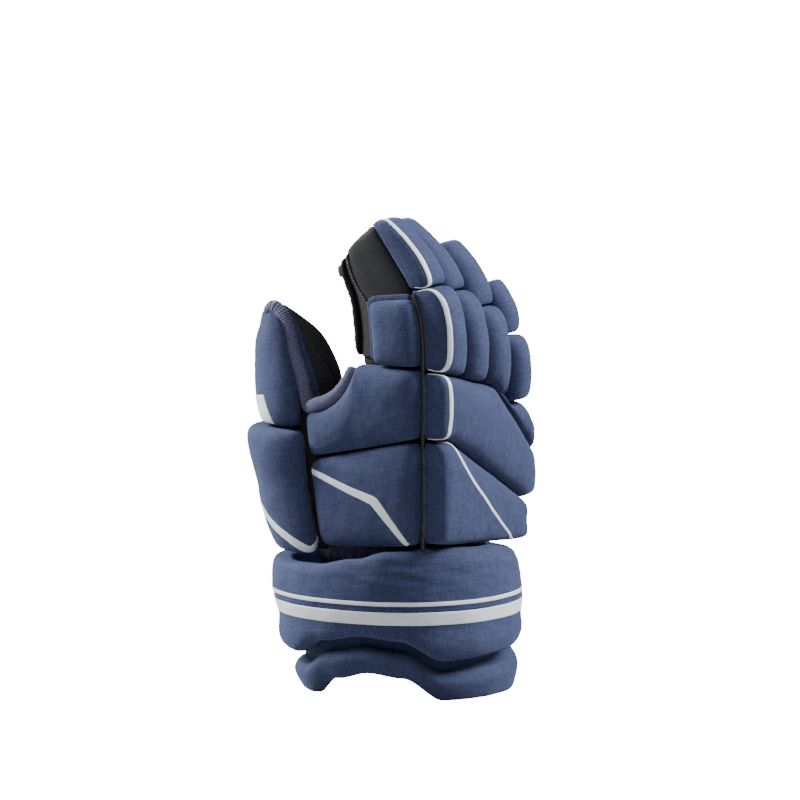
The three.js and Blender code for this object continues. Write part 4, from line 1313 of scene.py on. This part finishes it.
def make_welt():
    """Black welt up the corner between the back and the side, from the cuff to the index finger's joint."""
    west = HAND_MID_X - HAND_WIDE / 2
    low = stack(west - 1.7, BACK_Y - 0.9, np.linspace(SIDE_FOOT_Z + 2, FINGERS[0].root - 4, 12))
    row = finger_at(FINGERS[0], np.linspace(0.03, ROLL_JOINT - 0.03, 8))
    path = smooth_path(np.concatenate([low, stack(west - 1.2, row.y - 0.8, row.z)]), 260)
    outs = np.tile((-0.8, -0.6, 0.0), (len(path), 1))
    put("corner_welt", *tube_mesh(sweep(path, outs, 1.5, 1.5, 14)), LEATHER)
    return path + outs * 1.4, outs, 1.2, 0.18


def make_thumb_seam():
    """Raised seam down the inner face of the thumb."""
    share = np.linspace(0.93, 0.44, 30)
    turn = lerp(236, 268, smooth((0.93 - share) / 0.3))
    point, out = on_thumb(np.radians(turn), THUMB_FOOT_Z + share * THUMB_HIGH)
    path = smooth_path(point + out * 0.2, 160)
    outs = unit(smooth_path(out, 160))
    put("thumb_seam", *tube_mesh(sweep(path, outs, 1.0, 0.7, 12)), LEATHER)
    return path + beside(path, outs) * 2.0 - outs * 0.1, outs, 1.8, 0.26


def make_edge_leather(finger, side):
    """Leather turned from the palm round an outer finger's edge: a thin slab on the finger's skin."""

    def inner_turn(at, inset):
        turn = 145 + 21 * smooth((0.68 - at) / 0.28) - inset
        return np.radians(turn if side < 0 else 180 - turn)

    at, across = grid(np.linspace(0.05, 0.97, 90), np.linspace(0, 1, 28))
    angle = lerp(np.radians(90 - 2 * side), inner_turn(at, 0), across)
    high = bulge((at - 0.51) / 0.46, 30) * bulge(2 * across - 1, 8)
    front = finger_point(finger, at, angle, -high - 0.1)
    back = finger_point(finger, at, angle, -0.1)
    run = np.linspace(0, finger.high, 90)[:, None] + 0 * at
    put(f"{finger.name}_edge_leather", *two_sided(front, back, run, angle * 20), LEATHER)
    share = np.linspace(0.08, 0.9, 120)
    path = finger_point(finger, share, inner_turn(share, 3), -1.0)
    return path, np.tile([float(side), 0.0, 0.0], (120, 1)), 1.5, 0.2


def make_tab():
    """Small suede tab sewn over the tip of the index finger's palm strip."""
    finger = FINGERS[0]

    def place(s, v):
        at = between(TAB_LOW, TAB_HIGH, v)
        row = finger_at(finger, at)
        point = stack(finger.x + s * row.wide * 0.4, row.y, row.z) + row.across * (row.deep + 2.6)[..., None]
        point[..., 2] -= palm_fall(at)
        return point, row.across

    pad = make_pad("index_palm_tab", place, 4.2, (5, 3.4), 0, 0.08, (10.4, 6.0), seat=0.2, fill=0.5)
    stuffed_pad(pad, TAB_SUEDE)


def make_palm_patch():
    """Suede patch on the palm: a thin pad on the hand's skin, sewn along its border."""

    def place(s, v):
        x = between(-7, 50, s)
        z = between(104 + 0.002 * (x - 20) ** 2, root_z(x) - 7, v)
        section = hand_section(z)
        share = np.abs((x - HAND_MID_X) / section.half_x) ** section.square
        y = section.y + section.half_y * (1 - share) ** (1 / section.square)
        return stack(x, y, z), stack(0.0 * x, 1.0, 0.0)

    pad = make_pad("palm_patch", place, 1.3, (14, 14), 0.1, 0.1, (28.5, 44), seat=0.25, fill=0.4)
    stuffed_pad(pad, PALM_SUEDE)
    edge = [(0.05, 0.3), (0.05, 0.96), (0.95, 0.96), (0.95, 0.04), (0.05, 0.04), (0.05, 0.3)]
    return pad_row(pad, edge, 2.2, 0.3)


def make_band_stripe(name, middle_z, wide, rise):
    """Plain stripe round the band: a flat hump at one height, laid on the band's outer face."""
    degrees = np.linspace(0, 360, 400, endpoint=False)
    degrees, turn = grid(degrees, np.linspace(np.pi, -np.pi, 16, endpoint=False))
    z = middle_z + wide / 2 * bent(np.cos(turn), 0.5)
    low = band_foot(degrees)
    high = BAND_PEAK_Z * eased_step(CUFF_ROWS, "top", degrees)
    share = (z - (low + high) / 2) / ((high - low) / 2)
    slope = np.arcsin(np.clip(bent(share, ROUND_SQUARE / 2), -1, 1))
    rings = band_point(degrees, slope, rise * bent(np.sin(turn), 0.5))
    put(name, *tube_mesh(rings, wrap_rows=True), FILM)


def mirrored(rows):
    """Way points and the same again mirrored end for end, so that a piping hooks in at both ends."""
    return rows + [(across, 1 - along, wide) for across, along, wide in rows[::-1]]


# Ways of the films: shares across and along the pad, and the width in mm
ROLL_HOOK = mirrored([(0.13, 0.12, 2.2), (0.26, 0.11, 3.0), (0.33, 0.2, 3.2)])
KNUCKLE_HOOK = mirrored([(0.04, 0.13, 2.2), (0.12, 0.13, 3.0), (0.15, 0.2, 3.2)])
BACK_STRIPE = [
    (0.15, 0.9, 2.4), (0.2, 0.8, 2.5), (0.29, 0.67, 2.5), (0.45, 0.52, 2.5), (0.75, 0.2, 2.4),
    (0.83, 0.1, 2.2),
]
SIDE_STRIPE = [
    (0.94, 0.81, 3.2), (0.87, 0.77, 3.6), (0.6, 0.59, 4.3), (0.43, 0.5, 5.0), (0.395, 0.48, 5.6),
    (0.38, 0.46, 5.6), (0.3, 0.335, 4.8), (0.16, 0.125, 2.8),
]
THUMB_STRIPE = [
    (0.3, 0.6, 2.5), (0.44, 0.45, 3.8), (0.57, 0.32, 5.2), (0.72, 0.215, 5.8), (0.81, 0.145, 6.0),
    (0.845, 0.13, 6.0), (0.88, 0.145, 5.6), (0.975, 0.185, 4.4),
]
THUMB_PATCH = [(0.47, 0.3), (0.645, 0.325), (0.7, 0.1), (0.5, 0.1)]
PIPING_RISE = 0.5
FILM_RISE = 0.3
PATCH_RISE = 0.35

for pad_name, pad in PADS.items():
    pad.name = f"{pad_name}_cloth"
    stuffed_pad(pad, NAVY, [pad_name])
make_hand()
make_thumb()
for finger in FINGERS:
    make_stall(finger)
beige_rows = [make_palm_strip(finger) for finger in FINGERS]
make_band()
make_flare()
make_liner()
beige_rows += [make_welt(), make_palm_patch()]
beige_rows += [make_edge_leather(FINGERS[0], -1), make_edge_leather(FINGERS[3], 1)]
navy_rows = [*make_binding(), make_flange(), make_thumb_flange()]
make_wrist_ring()
navy_rows.append(make_thumb_seam())
make_tab()
stitches("beige_stitches", beige_rows, BEIGE_THREAD)
stitches("navy_stitches", navy_rows, NAVY_THREAD)
make_band_stripe("band_wide_stripe", 54, 8.5, PATCH_RISE)
make_band_stripe("band_narrow_stripe", 63.5, 2.6, PATCH_RISE)
for pad_name, part, kind, path, rise in (
    ("index_tip_roll", "index_tip", "piping", ROLL_HOOK, PIPING_RISE),
    ("index_middle_roll", "index_middle", "piping", ROLL_HOOK, PIPING_RISE),
    ("knuckle_pad", "knuckle", "piping", KNUCKLE_HOOK, PIPING_RISE),
    ("lower_back_pad", "back", "stripe", BACK_STRIPE, FILM_RISE),
    ("lower_side_pad", "side", "stripe", SIDE_STRIPE, FILM_RISE),
    ("thumb_lower_pad", "thumb", "stripe", THUMB_STRIPE, FILM_RISE),
):
    film_on(PADS[pad_name], f"{part}_white_{kind}", path, rise, f"{part}_{kind}")
patch_on(PADS["thumb_upper_pad"], "thumb_white_patch", THUMB_PATCH, PATCH_RISE)


# Floor, light and camera


def make_stage():
    """Wide pale floor under soft studio light."""
    mesh = bpy.data.meshes.new("floor")
    far = 20.0
    mesh.from_pydata([(-far, -far, 0), (far, -far, 0), (far, far, 0), (-far, far, 0)], [], [(0, 1, 2, 3)])
    floor = bpy.data.objects.new("floor", mesh)
    bpy.context.scene.collection.objects.link(floor)
    values = {"Roughness": 0.9, "Base Color": (0.3, 0.3, 0.3, 1), "Emission Color": (1, 1, 1, 1)}
    material, tree, shader = start_material("floor", values)
    seen = add_node(tree, "LightPath", "Is Camera Ray", {})
    feed(shader.inputs["Emission Strength"], seen * 16.0 + 0.02)
    mesh.materials.append(material)
    world = bpy.data.worlds.new("studio")
    world.use_nodes = True
    sky = world.node_tree.nodes["Background"].inputs
    sky["Color"].default_value = (1, 1, 1, 1)
    sky["Strength"].default_value = 0.045
    bpy.context.scene.world = world


def bearing(azimuth, elevation):
    a = math.radians(azimuth)
    e = math.radians(elevation)
    return Vector((math.sin(a) * math.cos(e), -math.cos(a) * math.cos(e), math.sin(e)))


def area_light(name, azimuth, elevation, size, watts):
    """Square lamp at this bearing from the glove's middle, turned towards it."""
    light = bpy.data.lights.new(name, "AREA")
    light.size = size
    light.energy = watts
    lamp = bpy.data.objects.new(name, light)
    lamp.location = Vector((0, 0, LAMP_AIM_HIGH)) + bearing(azimuth, elevation) * LAMP_FAR
    lamp.rotation_euler = (-bearing(azimuth, elevation)).to_track_quat("-Z", "Y").to_euler()
    bpy.context.scene.collection.objects.link(lamp)


def make_camera():
    """Long lens at the photograph's viewing angle, framed as the photograph is."""
    back = bearing(CAMERA_AZIMUTH, CAMERA_ELEVATION)
    right = Vector((0, 0, 1)).cross(back).normalized()
    aim = Vector(ORIGIN) + back.cross(right) * (AIM_UP / 1000) + right * (AIM_RIGHT / 1000)
    camera = bpy.data.cameras.new("camera")
    camera.sensor_width = SENSOR_MM
    camera.lens = SENSOR_MM * CAMERA_FAR / (IMAGE_PIXELS * MM_PER_PIXEL / 1000)
    camera.clip_end = 60
    eye = bpy.data.objects.new("camera", camera)
    eye.location = aim + back * CAMERA_FAR
    eye.rotation_euler = (-back).to_track_quat("-Z", "Y").to_euler()
    bpy.context.scene.collection.objects.link(eye)
    bpy.context.scene.camera = eye


make_stage()
area_light("left", -166, 34, 0.7, 82)
area_light("top", -80, 66, 0.9, 15)
area_light("right", 34, 36, 0.6, 68)
make_camera()
